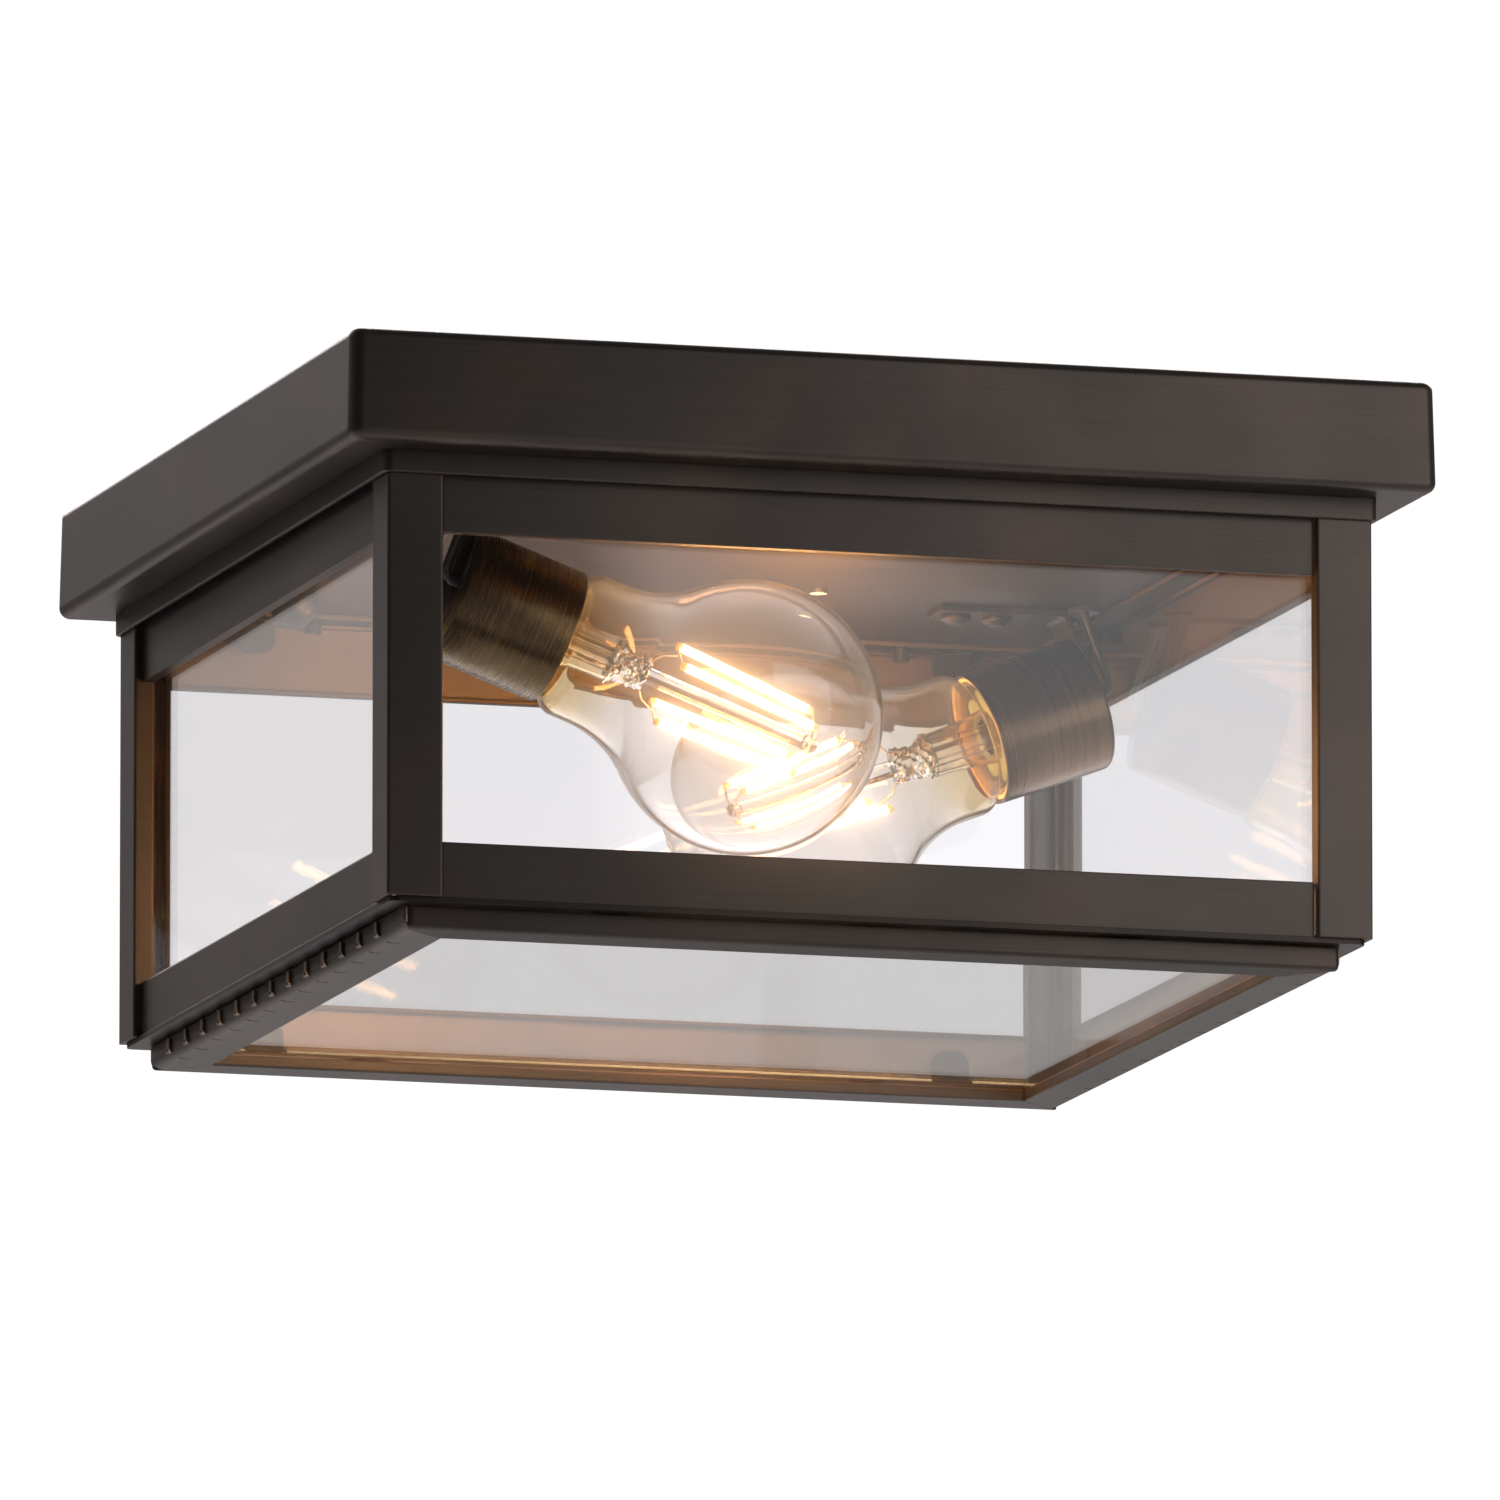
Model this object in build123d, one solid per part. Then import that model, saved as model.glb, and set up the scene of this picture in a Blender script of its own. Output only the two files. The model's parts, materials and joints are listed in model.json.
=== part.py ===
from build123d import *
import os
from math import cos, pi, radians, sin, sqrt

# Square flush lantern for a ceiling, in millimetres.
# X runs to the right along the front, Y to the back and Z up; the origin is on the ceiling plane.

# Canopy pan
CANOPY_SIDE = 256.0
CANOPY_HEIGHT = 25.5
CANOPY_SHEET = 1.0
CANOPY_CORNER_R = 3.0
CANOPY_EDGE_R = 2.5
CANOPY_RIM_R = 2.0
CANOPY_RIM_RETURN = 4.0
CANOPY_DRAFT = 0.6

# Lantern frame: collar, corner posts, rails and base flange
LANTERN_SIDE = 231.6
LANTERN_HEIGHT = 101.1
COLLAR_PROUD = 1.2
COLLAR_HEIGHT = 5.2
COLLAR_SHEET = 1.1
COLLAR_FLANGE = 15.0
COLLAR_CORNER_R = 2.0
COLLAR_EDGE_R = 0.4
POST_FLANGE = 13.0
POST_SHEET = 1.2
POST_EDGE_R = 0.5
POST_LIP = 4.6
RAIL_SETBACK = 2.0
RAIL_SHEET = 1.0
RAIL_FACE = 12.7
RAIL_END_GAP = 0.4
BASE_INSET = 1.2
BASE_SHEET = 1.2
BASE_WIDTH = 10.1
BASE_CORNER_R = 2.0

# Side panes and their clips
PANE_SHEET = 3.0
PANE_SIDE_GAP = 0.7
PANE_TOP_GAP = 0.5
CLIP_X = 83.0
CLIP_SHEET = 0.8
CLIP_WIDTH = 9.0
CLIP_HEIGHT = 8.0
CLIP_FOOT = 2.7
CLIP_CORNER_R = 3.5

# Bottom door
DOOR_SIDE = 220.2
DOOR_HEIGHT = 5.25
DOOR_GAP = 0.3
DOOR_SHEET = 1.2
DOOR_FLANGE = 12.0
DOOR_LEDGE = 2.7
DOOR_CORNER_R = 2.0
DOOR_EDGE_R = 1.15
DOOR_SIDE_EDGE_R = 3.0
DOOR_INNER_R = 0.5
DOOR_SEAM = 0.1
DOOR_GLASS_SHEET = 2.5
DOOR_GLASS_LAP = 4.9
LOUVRE_COUNT = 13
LOUVRE_PITCH = 14.9
LOUVRE_SLOT = 1.3
LOUVRE_HOOD = 0.9
LOUVRE_LENGTH = 3.5
LOUVRE_TOP = 0.4
LOUVRE_FOOT = 1.6
SLIT_FROM = 1.6
SLIT_LENGTH = 3.0
SLIT_WIDTH = 0.6
TAB_X = 60.0
TAB_WIDTH = 8.0
TAB_SHEET = 0.6
TAB_REACH = 3.0
TAB_GAP = 0.3

# Door hinge and catch
HINGE_X = 83.0
HINGE_REACH = 2.4
HINGE_DROP = 2.1
EAR_R = 2.0
EAR_SHEET = 1.2
EAR_GAP = 0.3
HINGE_PIN_R = 1.0
HINGE_PIN_HEAD_R = 1.7
HINGE_PIN_HEAD = 0.8
HINGE_PIN_PAST = 0.6
PIN_FIT = 0.05
TONGUE_WIDTH = 10.0
TONGUE_SHEET = 0.8
TONGUE_RISE = 10.0
CATCH_SHEET = 0.6
CATCH_GAP = 0.7
CATCH_RISE = 13.0
CATCH_LEG_END = 4.0
CATCH_PANE_GAP = 0.3

# Socket pair: half spacing, shift of the pair, depth, drop below the canopy and tilt
SOCKET_X = 66.3
SOCKET_SHIFT = 7.4
SOCKET_Y = 55.0
SOCKET_DROP = 30.5
SOCKET_TILT = 20.3
CUP_R = 15.75
CUP_LENGTH = 28.0
CUP_SHEET = 0.8
CUP_EDGE_R = 1.2
INSULATOR_FIT = 0.2
INSULATOR_WALL = 0.9
INSULATOR_FLOOR = 3.5
INSULATOR_RECESS = 0.8
SHELL_FIT = 0.1
SHELL_SHEET = 0.4
SHELL_RECESS = 3.5
LEAF_SHEET = 0.4
LEAF_LENGTH = 9.0
LEAF_WIDTH = 5.0
LEAF_GAP = 0.25
BRACKET_WIDTH = 12.0
BRACKET_SHEET = 1.5
BRACKET_BEND_R = 2.5
BRACKET_FOOT = 30.0
BRACKET_SCREW_PITCH = 10.0
BRACKET_SCREW_END = 5.0

# Lamp, measured along its axis from where it seats, level with the mouth of a deep enough cup
GLOBE_R = 31.5
GLOBE_AT = 47.0
LAMP_GLASS = 0.9
NECK_R = 17.0
NECK_FROM = 5.0
NECK_ARC_R = 25.0
SEAL_R = 12.2
SEAL_FROM = -6.0
SEAL_TO = -2.0
CAP_R = 13.05
CAP_RIM = -1.6
CAP_SKIRT = 5.6
CAP_SHEET = 0.45
CAP_CEMENT = 0.3
THREAD_PITCH = 3.629
THREAD_DEPTH = 0.8
THREAD_TURNS = 3
CAP_NOSE = 3.2
CAP_NOSE_R = 6.5
CONTACT_R = 4.7
CONTACT_HEIGHT = 1.4
CONTACT_FIT = 0.1
STEM_R = 5.1
STEM_WALL = 1.0
STEM_TO = 13.0
STEM_FLARE = 1.2
PRESS_LENGTH = 9.0
PRESS_WIDTH = 10.0
PRESS_THICK = 6.0
ROD_R = 2.0
ROD_TO = 64.0
FILAMENT_R = 0.95
FILAMENT_FROM = 27.0
FILAMENT_LENGTH = 35.0
FILAMENT_SPREAD = 10.3
FILAMENT_DRAW_IN = 2.0
FILAMENT_COUNT = 4
LEFT_LAMP_TURN = 75.0
RIGHT_LAMP_TURN = 29.0
WIRE_R = 0.3
WIRE_GAP = 0.15

# Ceiling straps and fasteners
STRAP_WIDTH = 19.0
STRAP_SHEET = 1.5
BOX_STRAP_LENGTH = 112.0
BOX_SLOT_SPACING = 88.9
BOX_SLOT_LENGTH = 14.0
BOX_SLOT_WIDTH = 4.8
STUD_AT = 115.0
STUD_R = 2.4
STUD_TOP = 0.3
STUD_BELOW = 5.5
STRAP_END = 9.0
THREAD_FIT = 0.1
CAP_NUT_R = 5.5
CAP_NUT_SKIRT = 2.0
CAP_NUT_HEIGHT = 7.5
SCREW_R = 2.0
SCREW_HEAD_R = 3.6
SCREW_HEAD = 2.2
SCREW_PAST = 3.0
COLLAR_SCREW_X = 70.0
COLLAR_SCREW_IN = 12.0

# Wiring in the canopy
LEAD_R = 0.9
LEAD_SPREAD = 8.5
LEAD_STAND_OFF = 3.8
LEAD_BEND_R = 3.0
LEAD_EASE_R = 12.0
LEAD_RUN_BEND_R = 5.0
LEAD_RUN_DROP = 13.0
LEAD_TURN_X = 12.0
LEAD_TURN_Y = 10.0
LEAD_PAIR_GAP = 1.4
LEAD_HOLE_FIT = 0.35
LEAD_COLLAR_GAP = 1.6
BUSHING_WALL = 1.2
BUSHING_LIP = 1.2
BUSHING_LIP_HEIGHT = 1.0
CONNECTOR_Y = 28.0
CONNECTOR_R = 5.5
CONNECTOR_TIP_R = 3.6
CONNECTOR_LENGTH = 20.0
CONNECTOR_DEPTH = 12.0
CONNECTOR_FIT = 0.3
GROUND_SCREW_X = 26.0
EARTH_SCREW_X = 30.0
EARTH_SCREW_Y = 38.0
GROUND_R = 0.8
GROUND_DIP = 6.0

# Levels, half sizes and fits worked out from the sizes above
Z_CANOPY = -CANOPY_HEIGHT
Z_PLATE = Z_CANOPY + CANOPY_SHEET
Z_COLLAR = Z_CANOPY - COLLAR_SHEET
Z_BASE = Z_CANOPY - LANTERN_HEIGHT
Z_BASE_UNDER = Z_BASE - BASE_SHEET
Z_DOOR_TOP = Z_BASE_UNDER - DOOR_GAP
Z_DOOR = Z_DOOR_TOP - DOOR_HEIGHT
Z_DOOR_FLOOR = Z_DOOR + DOOR_SHEET
Z_LEDGE = Z_DOOR + DOOR_LEDGE
Z_DOOR_GLASS = Z_LEDGE + DOOR_GLASS_SHEET
POST_HALF = LANTERN_SIDE / 2
COLLAR_HALF = POST_HALF + COLLAR_PROUD
BASE_HALF = POST_HALF - BASE_INSET
BASE_OPENING = BASE_HALF - BASE_WIDTH
PANE_OUT = POST_HALF - POST_LIP
PANE_IN = PANE_OUT - PANE_SHEET
DOOR_HALF = DOOR_SIDE / 2
DOOR_OPENING = DOOR_HALF - DOOR_FLANGE
DOOR_GLASS_HALF = DOOR_OPENING + DOOR_GLASS_LAP
HINGE_Y = DOOR_HALF + HINGE_REACH
HINGE_Z = Z_DOOR_TOP - HINGE_DROP
TONGUE_Y = -(DOOR_GLASS_HALF + BASE_OPENING) / 2
STUD_OFFSET = STUD_AT / sqrt(2)
STUD_PLACES = ((-STUD_OFFSET, STUD_OFFSET), (STUD_OFFSET, -STUD_OFFSET))
SIDES = {"front": 0, "right": 90, "back": 180, "left": 270}
CORNERS = {"front_left": 0, "front_right": 90, "back_right": 180, "back_left": 270}

# Socket frame: X up and square to the axis, Z out of the cup's mouth
TILT = radians(SOCKET_TILT)
CUP_AXIS = Vector(cos(TILT), 0, -sin(TILT))
CUP_UP = Vector(sin(TILT), 0, cos(TILT))
MOUTH = Vector(-SOCKET_X, -SOCKET_Y, Z_CANOPY - SOCKET_DROP)
SOCKET_FRAME = Plane(origin=MOUTH, x_dir=CUP_UP, z_dir=CUP_AXIS).location
CUP_REAR = MOUTH - CUP_AXIS * CUP_LENGTH
BRACKET_SEAT = -CUP_LENGTH - BRACKET_SHEET

# Radii and depths that fit inside one another, from the cup inwards
INSULATOR_R = CUP_R - CUP_SHEET - INSULATOR_FIT
INSULATOR_BORE = INSULATOR_R - INSULATOR_WALL
INSULATOR_BACK = CUP_SHEET - CUP_LENGTH
INSULATOR_FACE = INSULATOR_BACK + INSULATOR_FLOOR
SHELL_R = INSULATOR_BORE - SHELL_FIT
THREAD_ROOT_R = CAP_R - THREAD_DEPTH
THREAD_FROM = CAP_RIM - CAP_SKIRT
THREAD_END = THREAD_FROM - THREAD_TURNS * THREAD_PITCH
NOSE_END = THREAD_END - CAP_NOSE
CONTACT_TOP = NOSE_END - CONTACT_FIT
CONTACT_END = CONTACT_TOP - CONTACT_HEIGHT
BUSHING_BORE = LEAD_R + LEAD_HOLE_FIT
BUSHING_R = BUSHING_BORE + BUSHING_WALL
BUSHING_LIP_R = BUSHING_R + BUSHING_LIP
LEAD_RISE_X = LEAD_COLLAR_GAP + BUSHING_LIP_R + COLLAR_FLANGE + SOCKET_SHIFT - COLLAR_HALF

# A lamp screws in to the mouth or, in a shallow cup, until it meets the contact leaf
LAMP_SEAT = max(0, INSULATOR_FACE + LEAF_SHEET + LEAF_GAP - CONTACT_END)
LAMP_FRAME = SOCKET_FRAME * Pos(0, 0, LAMP_SEAT)


def block(x_low, x_high, y_low, y_high, z_low, z_high):
    centre = ((x_low + x_high) / 2, (y_low + y_high) / 2, (z_low + z_high) / 2)
    return Pos(*centre) * Box(x_high - x_low, y_high - y_low, z_high - z_low)


def square_slab(half, low, high, corner):
    return extrude(Pos(0, 0, low) * RectangleRounded(2 * half, 2 * half, corner), amount=high - low)


def square_hole(half, low, high):
    return block(-half, half, -half, half, low, high)


def rod(start, end, radius):
    start, end = Vector(start), Vector(end)
    return extrude(Plane(origin=start, z_dir=end - start) * Circle(radius), amount=(end - start).length)


def turned(*points):
    return revolve(Plane.XZ * make_face(Polyline(*points, close=True)), Axis.Z)


def lowest_edges(solid):
    return solid.faces().sort_by(Axis.Z)[0].edges()


def on_each_side(piece):
    return [Rot(0, 0, turn) * piece for turn in SIDES.values()]


def left_socket(piece):
    return Pos(SOCKET_SHIFT, 0, 0) * piece


def right_socket(piece):
    return Pos(SOCKET_SHIFT, 0, 0) * Rot(0, 0, 180) * piece


def both_sockets(piece):
    return [left_socket(piece), right_socket(piece)]


# Screw with its head under the seat and its shank up to the given height
def hanging_screw(seat, top):
    head = turned((0, seat), (SCREW_HEAD_R, seat), (SCREW_HEAD_R, seat - SCREW_HEAD / 2),
                  (SCREW_HEAD_R / 2, seat - SCREW_HEAD), (0, seat - SCREW_HEAD))
    return head + rod((0, 0, seat), (0, 0, top), SCREW_R)


# Places in the canopy plate for the collar screws, bracket screws and leads
def collar_screw_places():
    across = COLLAR_SCREW_IN - COLLAR_HALF
    return [(-COLLAR_SCREW_X, across), (COLLAR_SCREW_X, across)]


def bracket_bend():
    leg = MOUTH + CUP_AXIS * (BRACKET_SEAT + BRACKET_SHEET / 2)
    rise = (Z_CANOPY - BRACKET_SHEET / 2 - leg.Z) / CUP_UP.Z
    return leg, leg + CUP_UP * rise


def bracket_screw_places():
    last = bracket_bend()[1].X + BRACKET_FOOT - BRACKET_SCREW_END
    return [(last - BRACKET_SCREW_PITCH, MOUTH.Y), (last, MOUTH.Y)]


def lead_rise(side):
    behind = CUP_REAR - CUP_AXIS * LEAD_STAND_OFF + Vector(0, side * LEAD_SPREAD, 0)
    return behind, Vector(LEAD_RISE_X, behind.Y, Z_COLLAR)


# Canopy: drawn square pan whose rim rolls in against the ceiling
def drafted_block(inset):
    side, corner = CANOPY_SIDE - 2 * inset, CANOPY_CORNER_R - inset
    rim_side = side - 2 * CANOPY_DRAFT
    rim = Pos(0, 0, -inset) * RectangleRounded(rim_side, rim_side, corner)
    floor = Pos(0, 0, Z_CANOPY + inset) * RectangleRounded(side, side, corner)
    solid = fillet(lowest_edges(loft([rim, floor])), CANOPY_EDGE_R - inset)
    return fillet(solid.faces().sort_by(Axis.Z)[-1].edges(), CANOPY_RIM_R - inset)


def canopy_pan():
    def hole(x, y, radius):
        return Pos(x, y, Z_CANOPY) * Cylinder(radius, 4 * CANOPY_SHEET)

    holes = [hole(x, y, STUD_R + THREAD_FIT) for x, y in STUD_PLACES]
    holes.append(hole(EARTH_SCREW_X, EARTH_SCREW_Y, SCREW_R + THREAD_FIT))
    for x, y in collar_screw_places():
        holes += on_each_side(hole(x, y, SCREW_R + THREAD_FIT))
    for x, y in bracket_screw_places():
        holes += both_sockets(hole(x, y, SCREW_R + THREAD_FIT))
    for side in (-1, 1):
        rise = lead_rise(side)[1]
        holes += both_sockets(hole(rise.X, rise.Y, BUSHING_R))
    opening = square_hole(CANOPY_SIDE / 2 - CANOPY_RIM_RETURN, -CANOPY_SHEET, 0)
    return drafted_block(0) - drafted_block(CANOPY_SHEET) - opening - holes


# Ceiling straps: a short bar on the ceiling box and a long one on the diagonal for the studs
def flat_strap(length, top, hole_places):
    outline = RectangleRounded(length, STRAP_WIDTH, STRAP_WIDTH / 4)
    bar = extrude(Pos(0, 0, top) * outline, amount=-STRAP_SHEET)
    return bar - [Pos(x, 0, top) * Cylinder(radius, 4 * STRAP_SHEET) for x, radius in hole_places]


def box_strap():
    screw = SCREW_R + THREAD_FIT
    bar = flat_strap(BOX_STRAP_LENGTH, 0, [(0, screw), (GROUND_SCREW_X, screw)])
    slot = extrude(SlotOverall(BOX_SLOT_LENGTH, BOX_SLOT_WIDTH), amount=STRAP_SHEET, both=True)
    return bar - [Pos(sign * BOX_SLOT_SPACING / 2, 0, 0) * slot for sign in (-1, 1)]


def stud_strap():
    stud = STUD_R + THREAD_FIT
    holes = [(-STUD_AT, stud), (STUD_AT, stud), (0, SCREW_R + THREAD_FIT)]
    return Rot(0, 0, 135) * flat_strap(2 * (STUD_AT + STRAP_END), -STRAP_SHEET, holes)


def strap_hardware():
    studs = [rod((x, y, -STUD_TOP), (x, y, Z_CANOPY - STUD_BELOW), STUD_R) for x, y in STUD_PLACES]
    pivot = hanging_screw(-2 * STRAP_SHEET, -STUD_TOP)
    ground = Pos(GROUND_SCREW_X, 0, 0) * hanging_screw(-STRAP_SHEET, -STUD_TOP)
    earth = Pos(EARTH_SCREW_X, EARTH_SCREW_Y, Z_PLATE) * Rot(180, 0, 0) * hanging_screw(0, 2 * CANOPY_SHEET)
    return studs + [pivot, ground, earth]


def cap_nuts():
    bore, end = STUD_R + THREAD_FIT, -STUD_BELOW - THREAD_FIT
    side = Polyline((bore, 0), (CAP_NUT_R, 0), (CAP_NUT_R, -CAP_NUT_SKIRT))
    dome = TangentArc((CAP_NUT_R, -CAP_NUT_SKIRT), (0, -CAP_NUT_HEIGHT), tangent=(0, -1))
    inside = Polyline((0, -CAP_NUT_HEIGHT), (0, end), (bore, end), (bore, 0))
    nut = revolve(Plane.XZ * make_face(side.edges() + dome.edges() + inside.edges()), Axis.Z)
    return [Pos(x, y, Z_CANOPY) * nut for x, y in STUD_PLACES]


# Wiring: two leads from each cup, two connectors, bushings in the plate and the ground wire
def tube_along(points, radii, radius):
    path = FilletPolyline(*points, radius=radii)
    tube = sweep(Plane(origin=path @ 0, z_dir=path % 0) * Circle(radius), path=path)
    share = tube.volume / (pi * radius ** 2 * path.length)
    print(f"tube length {path.length:.1f} mm, volume over section times length {share:.4f}")
    return tube


def socket_lead(side):
    behind, rise = lead_rise(side)
    start = CUP_REAR + CUP_AXIS * (CUP_SHEET + INSULATOR_FLOOR / 2) + Vector(0, side * LEAD_SPREAD, 0)
    level = -LEAD_RUN_DROP
    points = [start, behind, rise, (rise.X, rise.Y, level), (-LEAD_TURN_X, side * LEAD_TURN_Y, level),
              (-LEAD_PAIR_GAP, side * LEAD_TURN_Y, level),
              (-LEAD_PAIR_GAP, side * (CONNECTOR_Y + CONNECTOR_DEPTH - CONNECTOR_FIT), level)]
    bends = [LEAD_BEND_R, LEAD_EASE_R, LEAD_RUN_BEND_R, LEAD_RUN_BEND_R, LEAD_RUN_BEND_R]
    return tube_along(points, bends, LEAD_R)


def wire_connector():
    bore = LEAD_PAIR_GAP + LEAD_R + CONNECTOR_FIT
    cone = turned((bore, 0), (CONNECTOR_R, 0), (CONNECTOR_R, CONNECTOR_LENGTH / 4),
                  (CONNECTOR_TIP_R, CONNECTOR_LENGTH), (0, CONNECTOR_LENGTH), (0, CONNECTOR_DEPTH),
                  (bore, CONNECTOR_DEPTH))
    return Pos(0, -CONNECTOR_Y, -LEAD_RUN_DROP) * Rot(90, 0, 0) * cone


def wire_bushing(side):
    rise = lead_rise(side)[1]
    low, top = -BUSHING_LIP_HEIGHT, CANOPY_SHEET + BUSHING_LIP_HEIGHT
    ring = turned((BUSHING_BORE, low), (BUSHING_LIP_R, low), (BUSHING_LIP_R, 0), (BUSHING_R, 0),
                  (BUSHING_R, top), (BUSHING_BORE, top))
    return Pos(rise.X, rise.Y, Z_CANOPY) * ring


def ground_wire():
    beside = SCREW_HEAD_R + GROUND_R + THREAD_FIT
    strap_level = -STRAP_SHEET - GROUND_R - THREAD_FIT
    plate_level = Z_PLATE + GROUND_R + THREAD_FIT
    end_y = EARTH_SCREW_Y - beside
    dip = strap_level - GROUND_DIP
    points = [(GROUND_SCREW_X, beside, strap_level), (GROUND_SCREW_X, beside + GROUND_DIP, strap_level),
              (EARTH_SCREW_X, end_y - 2 * GROUND_DIP, dip), (EARTH_SCREW_X, end_y - GROUND_DIP, plate_level),
              (EARTH_SCREW_X, end_y, plate_level)]
    return tube_along(points, [LEAD_BEND_R, LEAD_BEND_R, LEAD_BEND_R], GROUND_R)


# Lantern frame
def top_collar():
    bottom = Z_CANOPY - COLLAR_HEIGHT
    collar = square_slab(COLLAR_HALF, bottom, Z_CANOPY, COLLAR_CORNER_R)
    collar = fillet(lowest_edges(collar), COLLAR_EDGE_R)
    collar -= square_hole(COLLAR_HALF - COLLAR_SHEET, bottom, Z_COLLAR)
    collar -= square_hole(COLLAR_HALF - COLLAR_FLANGE, Z_COLLAR, Z_CANOPY)
    screw = SCREW_R + THREAD_FIT
    for x, y in collar_screw_places():
        collar -= on_each_side(Pos(x, y, Z_COLLAR) * Cylinder(screw, 4 * COLLAR_SHEET))
    return collar


def collar_screws():
    screw = Rot(180, 0, 0) * hanging_screw(0, CANOPY_SHEET + COLLAR_SHEET + SCREW_PAST)
    screws = []
    for x, y in collar_screw_places():
        screws += on_each_side(Pos(x, y, Z_PLATE) * screw)
    return screws


# Corner post: folded angle whose edges turn in to meet the panes
def corner_post():
    wide, lip, sheet = POST_FLANGE, POST_LIP, POST_SHEET
    outline = Polygon((0, 0), (wide, 0), (wide, lip), (wide - sheet, lip), (wide - sheet, sheet),
                      (sheet, sheet), (sheet, wide - sheet), (lip, wide - sheet), (lip, wide), (0, wide),
                      align=None)
    outside = [vertex for vertex in outline.vertices() if min(vertex.X, vertex.Y) < sheet / 2]
    section = fillet(outside, POST_EDGE_R)
    return extrude(Pos(-POST_HALF, -POST_HALF, Z_BASE) * section, amount=Z_COLLAR - Z_BASE)


# Rail: channel with its face set back from the posts and its edges turned in to meet the pane
def rail(low, high):
    face, back, sheet = RAIL_SETBACK, POST_LIP, RAIL_SHEET
    outline = Polygon((face, low), (back, low), (back, low + sheet), (face + sheet, low + sheet),
                      (face + sheet, high - sheet), (back, high - sheet), (back, high), (face, high),
                      align=None)
    length = 2 * (POST_HALF - POST_FLANGE - RAIL_END_GAP)
    channel = extrude(Plane.YZ * outline, amount=length / 2, both=True)
    return Pos(0, -POST_HALF, 0) * channel


def base_flange():
    ring = square_slab(BASE_HALF, Z_BASE_UNDER, Z_BASE, BASE_CORNER_R)
    ring -= square_hole(BASE_OPENING, Z_BASE_UNDER, Z_BASE)
    web = Rectangle(2 * EAR_R, Z_BASE_UNDER - HINGE_Z, align=(Align.CENTER, Align.MIN))
    return ring + hinge_ears(HINGE_X, web)


def side_pane():
    half = PANE_IN - PANE_SIDE_GAP
    return block(-half, half, -PANE_OUT, -PANE_IN, Z_BASE, Z_COLLAR - PANE_TOP_GAP)


def pane_clips():
    half = CLIP_WIDTH / 2
    upright = Rectangle(CLIP_WIDTH, CLIP_HEIGHT, align=(Align.CENTER, Align.MIN))
    upright = fillet(upright.vertices().group_by(Axis.Y)[-1], CLIP_CORNER_R)
    leaf = Pos(0, -PANE_IN, 0) * extrude(Plane.XZ * upright, amount=-CLIP_SHEET)
    clip = leaf + block(-half, half, -PANE_IN, CLIP_SHEET + CLIP_FOOT - PANE_IN, 0, CLIP_SHEET)
    clips = []
    for x in (-CLIP_X, CLIP_X):
        clips += on_each_side(Pos(x, 0, Z_BASE) * clip)
        clips += on_each_side(Pos(x, 0, Z_COLLAR) * mirror(clip, Plane.XY))
    return clips


# Door: channel frame under the base flange with a ledge for its glass
def door_frame():
    inner = DOOR_OPENING + DOOR_SHEET
    frame = square_slab(DOOR_HALF, Z_DOOR, Z_DOOR_TOP, DOOR_CORNER_R)
    frame = fillet(lowest_edges(frame), DOOR_EDGE_R) - square_hole(DOOR_OPENING, Z_DOOR, Z_DOOR_TOP)
    underside = frame.faces().sort_by(Axis.Z)[0]
    frame = fillet(underside.inner_wires()[0].edges(), DOOR_INNER_R)
    channel = square_slab(DOOR_HALF - DOOR_SHEET, Z_DOOR_FLOOR, Z_DOOR_TOP, DOOR_CORNER_R - DOOR_SHEET)
    frame -= channel - square_hole(inner, Z_DOOR_FLOOR, Z_DOOR_TOP)
    return frame - square_hole(inner, Z_LEDGE, Z_DOOR_TOP)


# Louvre in the left rail: a slot through the wall, a swept hood behind it and a slit below
def louvre_cuts(y):
    wall, low, high = -DOOR_HALF, Z_DOOR + LOUVRE_FOOT, Z_DOOR_TOP - LOUVRE_TOP
    slit_from = wall + SLIT_FROM
    slot = block(wall, wall + DOOR_SIDE_EDGE_R, y, y + LOUVRE_SLOT, low, high)
    slit = block(slit_from, slit_from + SLIT_LENGTH, y, y + SLIT_WIDTH, Z_DOOR, Z_DOOR_FLOOR)
    return [slot, slit]


def louvre_hood(y):
    low, high = Z_DOOR + LOUVRE_FOOT, Z_DOOR_TOP - LOUVRE_TOP
    lip, end = y + LOUVRE_SLOT, y + LOUVRE_SLOT + LOUVRE_LENGTH
    crest, root = -DOOR_HALF - LOUVRE_HOOD, DOOR_SHEET / 2 - DOOR_HALF
    sweep_back = TangentArc((crest, lip), (-DOOR_HALF, end), tangent=(0, 1))
    inside = Polyline((-DOOR_HALF, end), (root, end), (root, lip), (crest, lip))
    outline = make_face(sweep_back.edges() + inside.edges())
    return extrude(Pos(0, 0, low) * outline, amount=high - low)


# Left rail's channel: its wall runs down into the underside in one wide curve
def side_channel():
    def rounded(outline, corner, radius):
        return fillet(outline.vertices().sort_by_distance((*corner, 0))[0], radius)

    wall, opening, sheet = -DOOR_HALF, -DOOR_OPENING, DOOR_SHEET
    outline = Polygon((wall, Z_DOOR_TOP), (wall, Z_DOOR), (opening, Z_DOOR), (opening, Z_LEDGE),
                      (opening - sheet, Z_LEDGE), (opening - sheet, Z_DOOR_FLOOR),
                      (wall + sheet, Z_DOOR_FLOOR), (wall + sheet, Z_DOOR_TOP), align=None)
    outline = rounded(outline, (wall, Z_DOOR), DOOR_SIDE_EDGE_R)
    outline = rounded(outline, (wall + sheet, Z_DOOR_FLOOR), DOOR_SIDE_EDGE_R - sheet)
    outline = rounded(outline, (opening, Z_DOOR), DOOR_INNER_R)
    return extrude(Plane.XZ * outline, amount=DOOR_HALF, both=True)


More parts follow.
